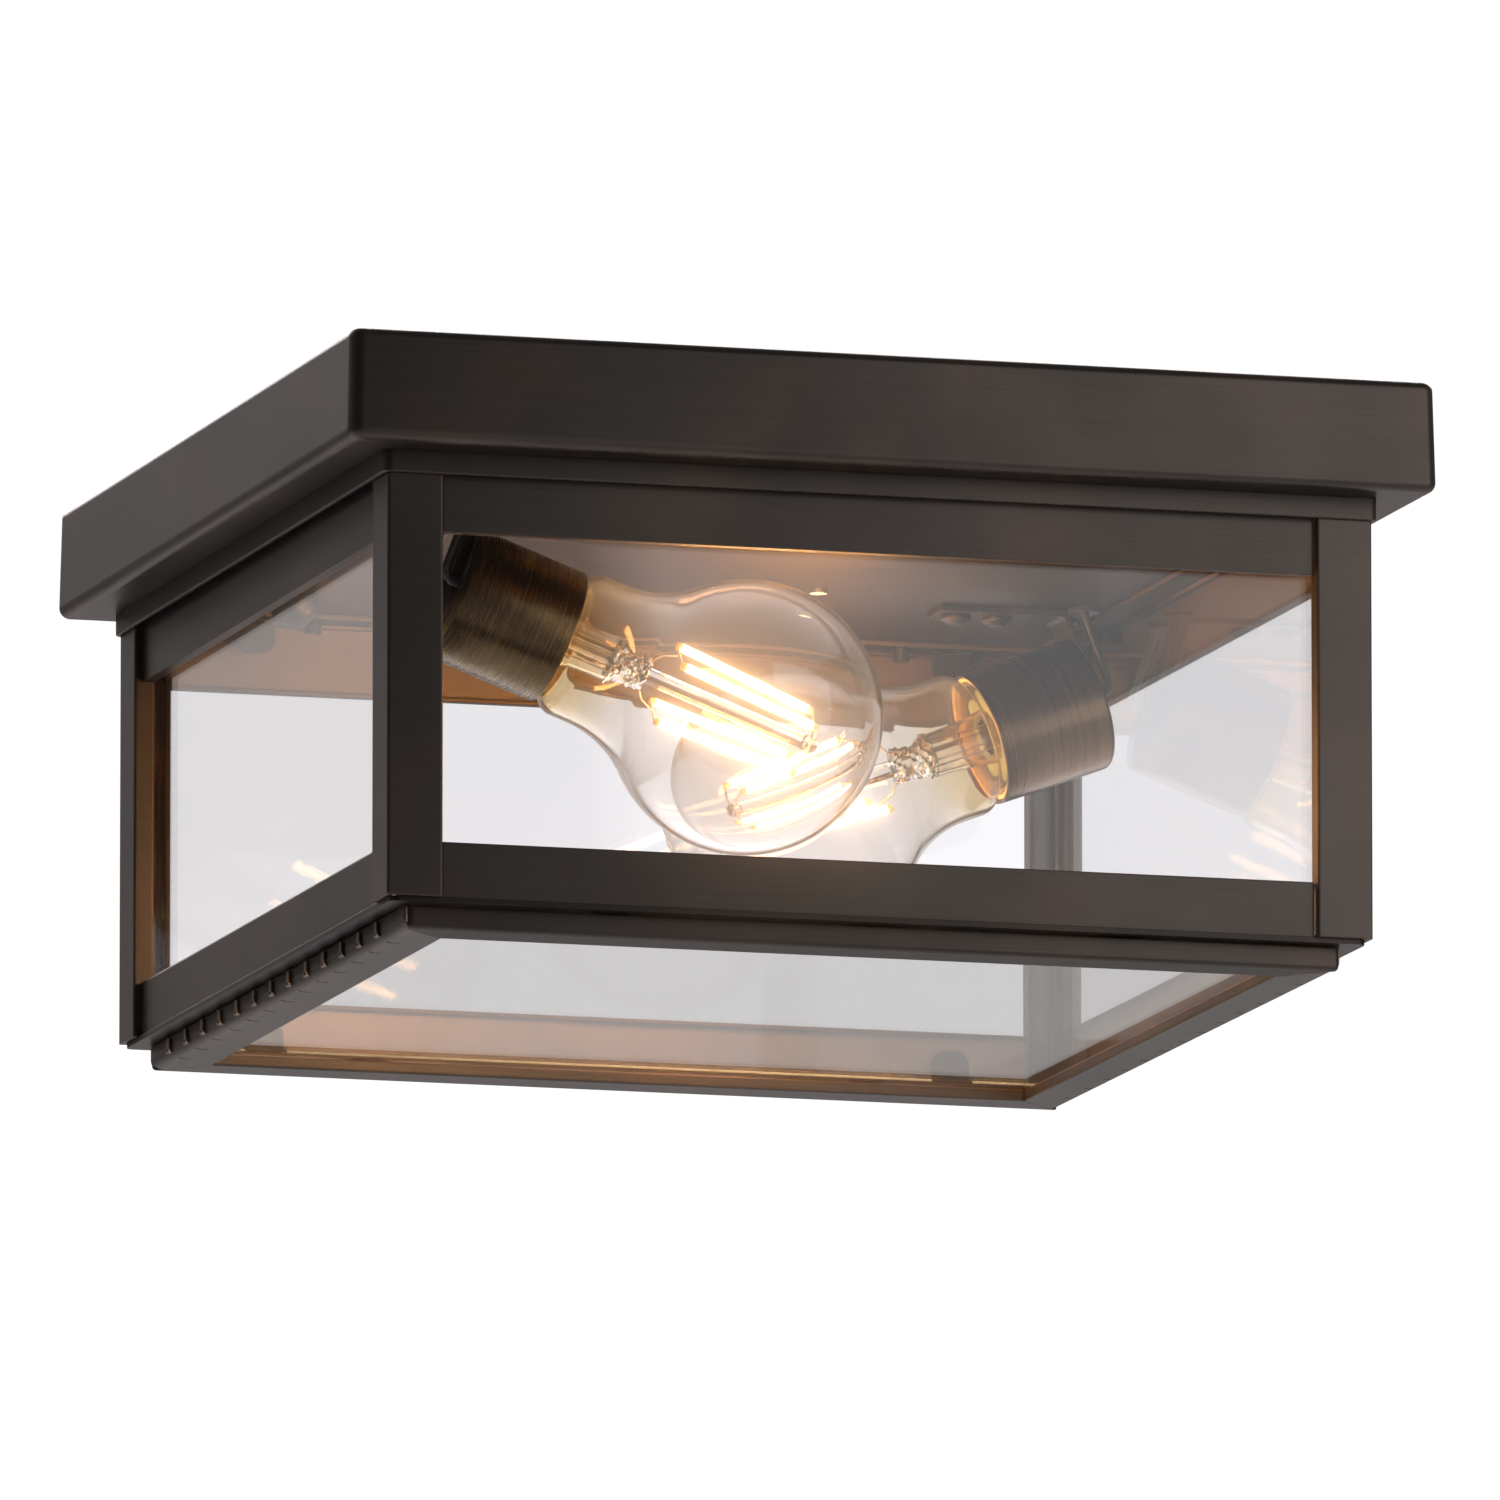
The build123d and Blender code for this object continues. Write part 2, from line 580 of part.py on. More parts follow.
# Room of the front rail between its two mitres
def mitred_room():
    far = -DOOR_SEAM - DOOR_SIDE
    outline = Polygon((0, -DOOR_SEAM), (-DOOR_SIDE, far), (DOOR_SIDE, far), align=None)
    return extrude(Pos(0, 0, Z_DOOR) * outline, amount=DOOR_HEIGHT)


def door_rails():
    frame, room = door_frame(), mitred_room()
    front = frame & room
    back = frame & (Rot(0, 0, SIDES["back"]) * room)
    left = side_channel() & square_slab(DOOR_HALF, Z_DOOR, Z_DOOR_TOP, DOOR_CORNER_R)
    left &= Rot(0, 0, SIDES["left"]) * room
    starts = [(i - (LOUVRE_COUNT - 1) / 2) * LOUVRE_PITCH for i in range(LOUVRE_COUNT)]
    left += [louvre_hood(y) for y in starts]
    left -= [cut for y in starts for cut in louvre_cuts(y)]
    web = Rectangle(HINGE_REACH, 2 * EAR_R, align=(Align.MAX, Align.CENTER))
    back += hinge_ears(HINGE_X - EAR_GAP - EAR_SHEET, web)
    return {"front": front, "back": back, "left": left, "right": mirror(left, Plane.YZ)}


# Hinge ears: rounded plates about the pin's axis, each with a web to the piece that carries it
def hinge_ears(inside, web):
    plate = Circle(EAR_R) + web - Circle(HINGE_PIN_R + PIN_FIT)
    ear = Pos(inside, 0, 0) * extrude(Plane.YZ * Pos(HINGE_Y, HINGE_Z) * plate, amount=EAR_SHEET)
    return [ear, mirror(ear, Plane.YZ)]


def hinge_pins():
    inner = HINGE_X - EAR_GAP - EAR_SHEET - HINGE_PIN_PAST
    outer = HINGE_X + EAR_SHEET
    pin = rod((inner, HINGE_Y, HINGE_Z), (outer, HINGE_Y, HINGE_Z), HINGE_PIN_R)
    pin += rod((outer, HINGE_Y, HINGE_Z), (outer + HINGE_PIN_HEAD, HINGE_Y, HINGE_Z), HINGE_PIN_HEAD_R)
    return [pin, mirror(pin, Plane.YZ)]


def bottom_glass():
    half = DOOR_GLASS_HALF
    return block(-half, half, -half, half, Z_LEDGE, Z_DOOR_GLASS)


def glass_tabs():
    half = TAB_WIDTH / 2
    riser = -DOOR_GLASS_HALF - TAB_GAP
    top = Z_DOOR_GLASS + TAB_SHEET
    wall = DOOR_SIDE_EDGE_R + TAB_GAP - DOOR_HALF
    tab = block(-half, half, wall, riser, Z_DOOR_FLOOR, Z_DOOR_FLOOR + TAB_SHEET)
    tab += block(-half, half, riser - TAB_SHEET, riser, Z_DOOR_FLOOR, top)
    tab += block(-half, half, riser - TAB_SHEET, TAB_REACH - DOOR_GLASS_HALF, Z_DOOR_GLASS, top)
    tabs = []
    for x in (-TAB_X, TAB_X):
        tabs += on_each_side(Pos(x, 0, 0) * tab)
    return tabs


# Door catch: a tongue on the front rail that stands between the two legs of a spring clip
def catch_tongue():
    half = TONGUE_WIDTH / 2
    front = TONGUE_Y - TONGUE_SHEET / 2
    foot = block(-half, half, DOOR_SHEET - DOOR_HALF, front, Z_DOOR_FLOOR, Z_DOOR_FLOOR + TONGUE_SHEET)
    return foot + block(-half, half, front, front + TONGUE_SHEET, Z_DOOR_FLOOR, Z_BASE + TONGUE_RISE)


def catch_spring():
    half = TONGUE_WIDTH / 2
    front = TONGUE_Y - TONGUE_SHEET / 2 - CATCH_GAP
    rear = TONGUE_Y + TONGUE_SHEET / 2 + CATCH_GAP
    top = Z_BASE + CATCH_RISE
    foot = block(-half, half, CATCH_PANE_GAP - PANE_IN, front, Z_BASE, Z_BASE + CATCH_SHEET)
    leg = block(-half, half, front - CATCH_SHEET, front, Z_BASE, top)
    bridge = block(-half, half, front - CATCH_SHEET, rear + CATCH_SHEET, top - CATCH_SHEET, top)
    return foot + leg + bridge + block(-half, half, rear, rear + CATCH_SHEET, Z_BASE + CATCH_LEG_END, top)


# Socket: strap bracket, metal cup, insulator, screw shell and centre contact
def lead_holes(radius, low, high):
    return [rod((0, side * LEAD_SPREAD, low), (0, side * LEAD_SPREAD, high), radius) for side in (-1, 1)]


def socket_bracket():
    leg, bend = bracket_bend()
    foot_end = bend + Vector(BRACKET_FOOT, 0, 0)
    path = FilletPolyline(leg, bend, foot_end, radius=BRACKET_BEND_R)
    section = Plane(origin=leg, x_dir=(0, 1, 0), z_dir=CUP_UP) * Rectangle(BRACKET_WIDTH, BRACKET_SHEET)
    strap = sweep(section, path=path)
    strap += SOCKET_FRAME * rod((0, 0, BRACKET_SEAT), (0, 0, -CUP_LENGTH), BRACKET_WIDTH / 2)
    screw = SCREW_R + THREAD_FIT
    strap -= SOCKET_FRAME * rod((0, 0, BRACKET_SEAT), (0, 0, -CUP_LENGTH), screw)
    places = bracket_screw_places()
    return strap - [Pos(x, y, Z_CANOPY) * Cylinder(screw, 4 * BRACKET_SHEET) for x, y in places]


def bracket_screws():
    screw = hanging_screw(Z_CANOPY - BRACKET_SHEET, Z_PLATE + SCREW_PAST)
    return [Pos(x, y, 0) * screw for x, y in bracket_screw_places()]


def socket_cup():
    bore = CUP_R - CUP_SHEET
    can = turned((0, -CUP_LENGTH), (CUP_R, -CUP_LENGTH), (CUP_R, 0), (bore, 0), (bore, INSULATOR_BACK),
                 (0, INSULATOR_BACK))
    can = fillet(lowest_edges(can), CUP_EDGE_R)
    hole = rod((0, 0, -CUP_LENGTH), (0, 0, INSULATOR_BACK), SCREW_R + THREAD_FIT)
    return SOCKET_FRAME * (can - [hole] - lead_holes(BUSHING_BORE, -CUP_LENGTH, INSULATOR_BACK))


def socket_insulator():
    mouth = -INSULATOR_RECESS
    body = turned((0, INSULATOR_BACK), (INSULATOR_R, INSULATOR_BACK), (INSULATOR_R, mouth),
                  (INSULATOR_BORE, mouth), (INSULATOR_BORE, INSULATOR_FACE), (0, INSULATOR_FACE))
    screw = rod((0, 0, INSULATOR_BACK), (0, 0, INSULATOR_FACE - LEAF_SHEET), SCREW_R + THREAD_FIT)
    return SOCKET_FRAME * (body - [screw] - lead_holes(BUSHING_BORE, INSULATOR_BACK, INSULATOR_FACE))


def screw_shell():
    bore = SHELL_R - SHELL_SHEET
    tube = turned((bore, INSULATOR_FACE), (SHELL_R, INSULATOR_FACE), (SHELL_R, -SHELL_RECESS),
                  (bore, -SHELL_RECESS))
    return SOCKET_FRAME * tube


def contact_leaf():
    top = LAMP_SEAT + CONTACT_END - LEAF_GAP
    half, wide = LEAF_LENGTH / 2, LEAF_WIDTH / 2
    foot = block(-half, -half / 2, -wide, wide, INSULATOR_FACE, top)
    return SOCKET_FRAME * (foot + block(-half, half, -wide, wide, top - LEAF_SHEET, top))


def socket_screw():
    shank_end = INSULATOR_FACE - LEAF_SHEET - THREAD_FIT
    return SOCKET_FRAME * hanging_screw(BRACKET_SEAT, shank_end)


# Lamp: blown bulb with a screw cap, glass stem and straight filaments
def bulb_outline(inset):
    globe, neck = GLOBE_R - inset, NECK_R - inset
    arc, seal = NECK_ARC_R + inset, SEAL_R - inset
    reach = sqrt((globe + arc) ** 2 - (neck + arc) ** 2)
    arc_from = GLOBE_AT - reach
    meet = (GLOBE_AT - reach * globe / (globe + arc), (neck + arc) * globe / (globe + arc))
    middle = ((SEAL_TO + NECK_FROM) / 2, (seal + neck) / 2)
    curve = [Line((SEAL_FROM, 0), (SEAL_FROM, seal)), Line((SEAL_FROM, seal), (SEAL_TO, seal)),
             TangentArc((SEAL_TO, seal), middle, tangent=(1, 0)),
             TangentArc((NECK_FROM, neck), middle, tangent=(-1, 0)),
             Line((NECK_FROM, neck), (arc_from, neck)), TangentArc((arc_from, neck), meet, tangent=(1, 0)),
             ThreePointArc(meet, (GLOBE_AT, globe), (GLOBE_AT + globe, 0)),
             Line((GLOBE_AT + globe, 0), (SEAL_FROM, 0))]
    return revolve(make_face(curve), Axis.X)


def bulb_glass():
    return LAMP_FRAME * Rot(0, -90, 0) * (bulb_outline(0) - bulb_outline(LAMP_GLASS))


def bulb_cap():
    skirt_bore, bore = SEAL_R + CAP_CEMENT, THREAD_ROOT_R - CAP_SHEET
    outside = [(CAP_R, CAP_RIM), (CAP_R, THREAD_FROM)]
    for turn in range(THREAD_TURNS):
        start = THREAD_FROM - turn * THREAD_PITCH
        outside += [(THREAD_ROOT_R, start - THREAD_PITCH / 4), (THREAD_ROOT_R, start - THREAD_PITCH / 2),
                    (CAP_R, start - THREAD_PITCH * 3 / 4), (CAP_R, start - THREAD_PITCH)]
    nose = [(THREAD_ROOT_R, THREAD_END - CAP_SHEET), (CAP_NOSE_R, NOSE_END), (0, NOSE_END)]
    inside = [(0, THREAD_END), (bore, THREAD_END), (bore, SEAL_FROM - CAP_CEMENT),
              (skirt_bore, SEAL_FROM - CAP_CEMENT), (skirt_bore, CAP_RIM)]
    return LAMP_FRAME * turned(*outside, *nose, *inside)


def bulb_contact():
    bevel = CONTACT_HEIGHT / 2
    return LAMP_FRAME * turned((0, CONTACT_TOP), (CONTACT_R, CONTACT_TOP), (CONTACT_R, CONTACT_END + bevel),
                               (CONTACT_R - bevel, CONTACT_END), (0, CONTACT_END))


def filament_ends(lamp_turn, number):
    angle = radians(lamp_turn + number * 360 / FILAMENT_COUNT)
    across = Vector(cos(angle), sin(angle), 0)
    near = across * FILAMENT_SPREAD + Vector(0, 0, FILAMENT_FROM)
    return near, across * (FILAMENT_SPREAD - FILAMENT_DRAW_IN) + Vector(0, 0, FILAMENT_FROM + FILAMENT_LENGTH)


def bulb_stem(lamp_turn):
    flare_r = SEAL_R - LAMP_GLASS - CAP_CEMENT
    inner = STEM_R - STEM_WALL
    flare = SEAL_FROM + STEM_FLARE
    stem = turned((inner, SEAL_FROM), (flare_r, SEAL_FROM), (flare_r, flare), (STEM_R, flare + STEM_R),
                  (STEM_R, STEM_TO), (inner, STEM_TO))
    press_end = STEM_TO + PRESS_LENGTH
    half = PRESS_WIDTH / 2
    stem += block(-half, half, -PRESS_THICK / 2, PRESS_THICK / 2, STEM_TO, press_end)
    stem += rod((0, 0, press_end), (0, 0, ROD_TO), ROD_R)
    for number in range(FILAMENT_COUNT):
        near, far = filament_ends(lamp_turn, number)
        stem += rod((0, 0, press_end - WIRE_R), near - Vector(0, 0, WIRE_R + WIRE_GAP), WIRE_R)
        stem += rod((0, 0, ROD_TO - WIRE_R), far + Vector(0, 0, WIRE_R + WIRE_GAP), WIRE_R)
    return LAMP_FRAME * stem


def bulb_filaments(lamp_turn):
    ends = [filament_ends(lamp_turn, number) for number in range(FILAMENT_COUNT)]
    return [LAMP_FRAME * rod(near, far, FILAMENT_R) for near, far in ends]


# Every node by name; a list of solids is a group of like pieces
def assemble():
    nodes = {"canopy_pan": canopy_pan(), "box_strap": box_strap(), "stud_strap": stud_strap(),
             "strap_hardware": strap_hardware(), "cap_nuts": cap_nuts(), "top_collar": top_collar(),
             "collar_screws": collar_screws(), "base_flange": base_flange(), "pane_clips": pane_clips(),
             "bottom_glass": bottom_glass(), "glass_tabs": glass_tabs(), "hinge_pins": hinge_pins(),
             "catch_tongue": catch_tongue(), "catch_spring": catch_spring(), "ground_wire": ground_wire()}
    for corner, turn in CORNERS.items():
        nodes[f"corner_post_{corner}"] = Rot(0, 0, turn) * corner_post()
    top_rail = rail(Z_CANOPY - COLLAR_HEIGHT - RAIL_FACE, Z_COLLAR)
    bottom_rail = rail(Z_BASE, Z_BASE + RAIL_FACE)
    for side, turn in SIDES.items():
        nodes[f"top_rail_{side}"] = Rot(0, 0, turn) * top_rail
        nodes[f"bottom_rail_{side}"] = Rot(0, 0, turn) * bottom_rail
        nodes[f"glass_pane_{side}"] = Rot(0, 0, turn) * side_pane()
    for side, piece in door_rails().items():
        nodes[f"door_rail_{side}"] = piece
    front_lead, back_lead = socket_lead(-1), socket_lead(1)
    nodes["black_leads"] = [left_socket(front_lead), right_socket(back_lead)]
    nodes["white_leads"] = [left_socket(back_lead), right_socket(front_lead)]
    nodes["wire_connectors"] = both_sockets(wire_connector())
    nodes["wire_bushings"] = [ring for side in (-1, 1) for ring in both_sockets(wire_bushing(side))]
    nodes["screw_shells"] = both_sockets(screw_shell())
    nodes["contact_leaves"] = both_sockets(contact_leaf())
    nodes["socket_screws"] = both_sockets(socket_screw())
    nodes["bracket_screws"] = [piece for screw in bracket_screws() for piece in both_sockets(screw)]
    pair = {"socket_bracket": [socket_bracket()], "socket_cup": [socket_cup()],
            "socket_insulator": [socket_insulator()], "bulb_glass": [bulb_glass()], "bulb_cap": [bulb_cap()],
            "bulb_contact": [bulb_contact()]}
    for side, place, lamp_turn in (("left", left_socket, LEFT_LAMP_TURN),
                                   ("right", right_socket, RIGHT_LAMP_TURN)):
        inside = {"bulb_stem": [bulb_stem(lamp_turn)], "bulb_filaments": bulb_filaments(lamp_turn)}
        for name, pieces in {**pair, **inside}.items():
            nodes[f"{name}_{side}"] = [place(piece) for piece in pieces]
    return nodes


os.makedirs("parts", exist_ok=True)
for name, node in assemble().items():
    pieces = node if isinstance(node, list) else [node]
    export_step(Compound([solid for piece in pieces for solid in piece.solids()]), f"parts/{name}.step")
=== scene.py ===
import json
import math

import bmesh
import bpy
from mathutils import Matrix, Vector


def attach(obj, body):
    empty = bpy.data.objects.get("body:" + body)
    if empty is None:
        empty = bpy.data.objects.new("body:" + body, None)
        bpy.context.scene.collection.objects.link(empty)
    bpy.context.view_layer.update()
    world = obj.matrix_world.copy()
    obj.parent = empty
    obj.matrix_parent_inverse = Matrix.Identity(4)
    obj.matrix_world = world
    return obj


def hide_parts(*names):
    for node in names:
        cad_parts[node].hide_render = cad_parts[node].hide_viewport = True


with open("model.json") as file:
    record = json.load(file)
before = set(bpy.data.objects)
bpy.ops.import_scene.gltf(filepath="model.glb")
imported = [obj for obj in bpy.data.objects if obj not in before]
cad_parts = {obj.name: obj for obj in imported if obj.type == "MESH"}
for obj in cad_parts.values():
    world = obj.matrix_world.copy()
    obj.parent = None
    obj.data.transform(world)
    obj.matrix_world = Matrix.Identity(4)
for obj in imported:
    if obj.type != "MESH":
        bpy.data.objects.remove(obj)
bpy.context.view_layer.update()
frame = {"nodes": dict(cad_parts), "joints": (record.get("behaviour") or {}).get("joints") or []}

# Canopy: a square pan drawn from sheet steel with a rolled lower edge, open to the ceiling.
# It is painted oil-rubbed bronze over a fine level brush grain, and rubs through to copper at its edges.
nodes = frame["nodes"]


def new_finish(name):
    material = bpy.data.materials.new(name)
    material.use_nodes = True
    return material, material.node_tree, material.node_tree.nodes["Principled BSDF"]


def shade(tree, kind, inputs, **settings):
    made = tree.nodes.new("ShaderNode" + kind)
    for key, value in settings.items():
        setattr(made, key, value)
    for key, value in inputs.items():
        if isinstance(value, bpy.types.NodeSocket):
            tree.links.new(value, made.inputs[key])
        else:
            made.inputs[key].default_value = value
    return made


def colour_ramp(tree, factor, *stops):
    ramp = shade(tree, "ValToRGB", {"Fac": factor})
    band = ramp.color_ramp
    while len(band.elements) < len(stops):
        band.elements.new(0.5)
    for element, (place, colour) in zip(band.elements, stops):
        element.position = place
        element.color = (*colour, 1.0)
    return ramp.outputs["Color"]


def number_range(tree, value, low, high, from_low=0.0, from_high=1.0):
    inputs = {"Value": value, "From Min": from_low, "From Max": from_high, "To Min": low, "To Max": high}
    return shade(tree, "MapRange", inputs).outputs["Result"]


def noise(tree, stretch, detail=3.0, roughness=0.5):
    place = shade(tree, "TexCoord", {}).outputs["Object"]
    stretched = shade(tree, "Mapping", {"Vector": place, "Scale": stretch}).outputs["Vector"]
    inputs = {"Vector": stretched, "Scale": 1.0, "Detail": detail, "Roughness": roughness}
    return shade(tree, "TexNoise", inputs).outputs["Fac"]


def blend(tree, factor, first, second, mode="MIX"):
    mixed = shade(tree, "Mix", {}, data_type="RGBA", blend_type=mode)
    for socket, value in ((mixed.inputs[0], factor), (mixed.inputs[6], first), (mixed.inputs[7], second)):
        if isinstance(value, bpy.types.NodeSocket):
            tree.links.new(value, socket)
        elif isinstance(value, tuple):
            socket.default_value = (*value, 1.0)
        else:
            socket.default_value = value
    return mixed.outputs[2]


def dot(tree, first, second):
    return shade(tree, "VectorMath", {0: first, 1: second}, operation="DOT_PRODUCT").outputs["Value"]


def bumped(tree, skin, height, strength, distance=0.0001, **inputs):
    relief = shade(tree, "Bump", {"Height": height, "Strength": strength, "Distance": distance, **inputs})
    tree.links.new(relief.outputs["Normal"], skin.inputs["Normal"])


def bronze_paint(name, dark, light, grain, grazing=(0.38, 0.37, 0.365), inner_painted_glow=0.0, edge_wear=0.40,
                 edge_round=0.0006):
    worn, painted_lamp_glow = (0.17, 0.085, 0.050), (0.190, 0.135, 0.085)
    cloud_grain, warm_grain = (14.0, 14.0, 14.0), (30.0, 30.0, 30.0)
    rubbed_share, copper_most, metal_share = 0.36, 0.12, 0.72
    smooth, rough, brush_relief = 0.29, 0.39, 0.05
    material, tree, skin = new_finish(name)
    brush = noise(tree, grain, 4.0, 0.65)
    cloud = noise(tree, cloud_grain, 4.0, 0.55)
    warm = noise(tree, warm_grain, 2.0)
    patina = colour_ramp(tree, cloud, (0.28, dark), (0.74, light))
    rubbed = colour_ramp(tree, brush, (0.30, dark), (0.72, light))
    coat = blend(tree, rubbed_share, patina, rubbed)
    coat = blend(tree, number_range(tree, warm, 0.0, copper_most, 0.5, 0.85), coat, worn)
    rest = shade(tree, "TexCoord", {}).outputs
    inward = shade(tree, "VectorMath", {0: rest["Object"], 1: (-1.0, -1.0, 0.0)}, operation="MULTIPLY")
    inward = shade(tree, "VectorMath", {0: inward.outputs["Vector"]}, operation="NORMALIZE").outputs["Vector"]
    within = dot(tree, inward, rest["Normal"])
    # Faces turned in towards the lantern's axis are painted warm and lighter: painted light of the lamps
    # inside.
    coat = blend(tree, number_range(tree, within, 0.0, inner_painted_glow, 0.3, 0.7), coat, painted_lamp_glow)
    softened = shade(tree, "Bevel", {"Radius": edge_round}, samples=4).outputs["Normal"]
    level = dot(tree, softened, shade(tree, "NewGeometry", {}).outputs["Normal"])
    edge = number_range(tree, level, edge_wear, 0.0, 0.80, 0.985)
    tree.links.new(blend(tree, edge, coat, worn), skin.inputs["Base Color"])
    skin.inputs["Metallic"].default_value = metal_share
    skin.inputs["Specular Tint"].default_value = (*grazing, 1.0)
    tree.links.new(number_range(tree, brush, smooth, rough), skin.inputs["Roughness"])
    bumped(tree, skin, brush, brush_relief, Normal=softened)
    return material


def dress(material, *names):
    for name in names:
        mesh = nodes[name].data
        mesh.materials.clear()
        mesh.materials.append(material)


level_grain = (18.0, 18.0, 1900.0)
canopy_bronze = bronze_paint("canopy_bronze", (0.034, 0.029, 0.026), (0.058, 0.050, 0.046), level_grain)
dress(canopy_bronze, "canopy_pan")

# Ceiling straps: two pressed steel bars, crossed on a pivot screw, with studs, a ground screw and screws.
# They are zinc plated, slightly yellow and milky, and the canopy hides them.
zinc_pale, zinc_dull = (0.66, 0.64, 0.56), (0.44, 0.42, 0.36)
strap_zinc, zinc_tree, zinc_skin = new_finish("strap_zinc")
mottle = noise(zinc_tree, (220.0, 220.0, 220.0), 4.0)
rolled = noise(zinc_tree, (60.0, 900.0, 900.0), 3.0)
milky = colour_ramp(zinc_tree, mottle, (0.35, zinc_dull), (0.65, zinc_pale))
lined = colour_ramp(zinc_tree, rolled, (0.30, zinc_dull), (0.70, zinc_pale))
zinc_tree.links.new(blend(zinc_tree, 0.5, milky, lined), zinc_skin.inputs["Base Color"])
zinc_skin.inputs["Metallic"].default_value = 0.9
zinc_tree.links.new(number_range(zinc_tree, mottle, 0.28, 0.46), zinc_skin.inputs["Roughness"])
bumped(zinc_tree, zinc_skin, rolled, 0.06, 0.0002)
dress(strap_zinc, "box_strap", "stud_strap", "strap_hardware")

# Cap nuts and screws: turned nuts with round domes on the studs, and the screws of the collar and brackets.
# They are steel, blackened and oiled to a dark bronze, with fine turning marks.
turning_marks = (300.0, 300.0, 300.0)
nut_bronze = bronze_paint("nut_bronze", (0.040, 0.034, 0.030), (0.085, 0.072, 0.062), turning_marks)
dress(nut_bronze, "cap_nuts", "collar_screws", "bracket_screws", "socket_screws")


# Wiring: insulated copper leads from each holder to two screwed-on connectors in the canopy.
# Plastic bushings line the holes in the plate, and a bare copper wire grounds the pan to the strap.
def moulded_plastic(name, dark, light, roughness):
    speck_grain, speck_relief, sheen_spread = (900.0, 900.0, 900.0), 0.05, 0.08
    material, tree, skin = new_finish(name)
    speck = noise(tree, speck_grain, 3.0)
    tree.links.new(colour_ramp(tree, speck, (0.35, dark), (0.65, light)), skin.inputs["Base Color"])
    sheen = number_range(tree, speck, roughness - sheen_spread, roughness + sheen_spread)
    tree.links.new(sheen, skin.inputs["Roughness"])
    bumped(tree, skin, speck, speck_relief)
    return material


def plain_metal(name, dark, light, grain, smooth, rough):
    line_relief = 0.10
    material, tree, skin = new_finish(name)
    lines = noise(tree, grain, 4.0, 0.65)
    tree.links.new(colour_ramp(tree, lines, (0.30, dark), (0.70, light)), skin.inputs["Base Color"])
    skin.inputs["Metallic"].default_value = 1.0
    tree.links.new(number_range(tree, lines, smooth, rough), skin.inputs["Roughness"])
    bumped(tree, skin, lines, line_relief)
    return material


drawn_grain = (400.0, 400.0, 400.0)
dress(moulded_plastic("black_insulation", (0.012, 0.012, 0.013), (0.030, 0.030, 0.032), 0.40), "black_leads")
dress(moulded_plastic("white_insulation", (0.70, 0.70, 0.66), (0.84, 0.84, 0.80), 0.40), "white_leads")
dress(moulded_plastic("connector_orange", (0.50, 0.17, 0.03), (0.62, 0.24, 0.05), 0.32), "wire_connectors")
dress(moulded_plastic("bushing_black", (0.015, 0.015, 0.015), (0.035, 0.035, 0.035), 0.45), "wire_bushings")
dress(plain_metal("bare_copper", (0.55, 0.22, 0.11), (0.78, 0.40, 0.24), drawn_grain, 0.22, 0.38),
      "ground_wire")

# Lantern frame: folded collar, corner posts with turned-in edges, channel rails and a flat base flange.
# All are bent from sheet steel, screwed up through the collar and painted bronze, with a warm painted glow of
# lamp light on the inward faces.
# The posts stand proud of the rails, and the flange below is painted darker as painted shade and has sharp
# edges.
corners = ("front_left", "front_right", "back_right", "back_left")
sides = ("front", "right", "back", "left")
frame_bronze = bronze_paint("frame_bronze", (0.033, 0.029, 0.027), (0.060, 0.052, 0.047), level_grain,
                            inner_painted_glow=0.75)
dress(frame_bronze, "top_collar", *(f"{level}_rail_{side}" for level in ("top", "bottom") for side in sides))
# The flange's darker colour is painted shade under the rails.
flange_painted_shade = bronze_paint("flange_painted_shade", (0.017, 0.015, 0.014), (0.030, 0.026, 0.023), level_grain,
                             inner_painted_glow=0.5, edge_wear=0.05, edge_round=0.0001)
dress(flange_painted_shade, "base_flange")
post_bronze = bronze_paint("post_bronze", (0.035, 0.030, 0.027), (0.064, 0.054, 0.048), level_grain)
dress(post_bronze, *(f"corner_post_{corner}" for corner in corners))


# Side panes: four sheets of clear float glass standing on the base flange behind posts and rails.
# Spring clips on the flange and collar press each pane out against the folded edges.
# A ground arris runs along each lower edge and glows cream, a painted glow of lamp light led through the
# pane; the panes' shadows are left out, so that light comes in.
def clear_glass(name, tint, haze):
    smear_grain, glass_index, smear_lift = (9.0, 9.0, 9.0), 1.46, 0.015
    material, tree, skin = new_finish(name)
    smear = noise(tree, smear_grain, 4.0)
    pale = tuple(min(1.0, part + smear_lift) for part in tint)
    tree.links.new(colour_ramp(tree, smear, (0.3, tint), (0.7, pale)), skin.inputs["Base Color"])
    tree.links.new(number_range(tree, smear, 0.0, haze, 0.45, 0.8), skin.inputs["Roughness"])
    skin.inputs["Transmission Weight"].default_value = 1.0
    skin.inputs["IOR"].default_value = glass_index
    return material


def finish_piece(name, maker, place, material, body, slot, *replaced, smooth=35.0):
    mesh = bpy.data.meshes.new(name)
    bmesh.ops.recalc_face_normals(maker, faces=maker.faces)
    maker.to_mesh(mesh)
    maker.free()
    for face in mesh.polygons:
        face.use_smooth = True
    mesh.set_sharp_from_angle(angle=math.radians(smooth))
    mesh.materials.append(material)
    piece = bpy.data.objects.new(name, mesh)
    bpy.context.scene.collection.objects.link(piece)
    piece.matrix_world = place
    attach(piece, body)
    if replaced:
        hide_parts(*replaced)
    return piece


def wall(maker, rings):
    for near, far in zip(rings, rings[1:]):
        for k in range(len(near)):
            m = (k + 1) % len(near)
            maker.faces.new((near[k], near[m], far[m], far[k]))


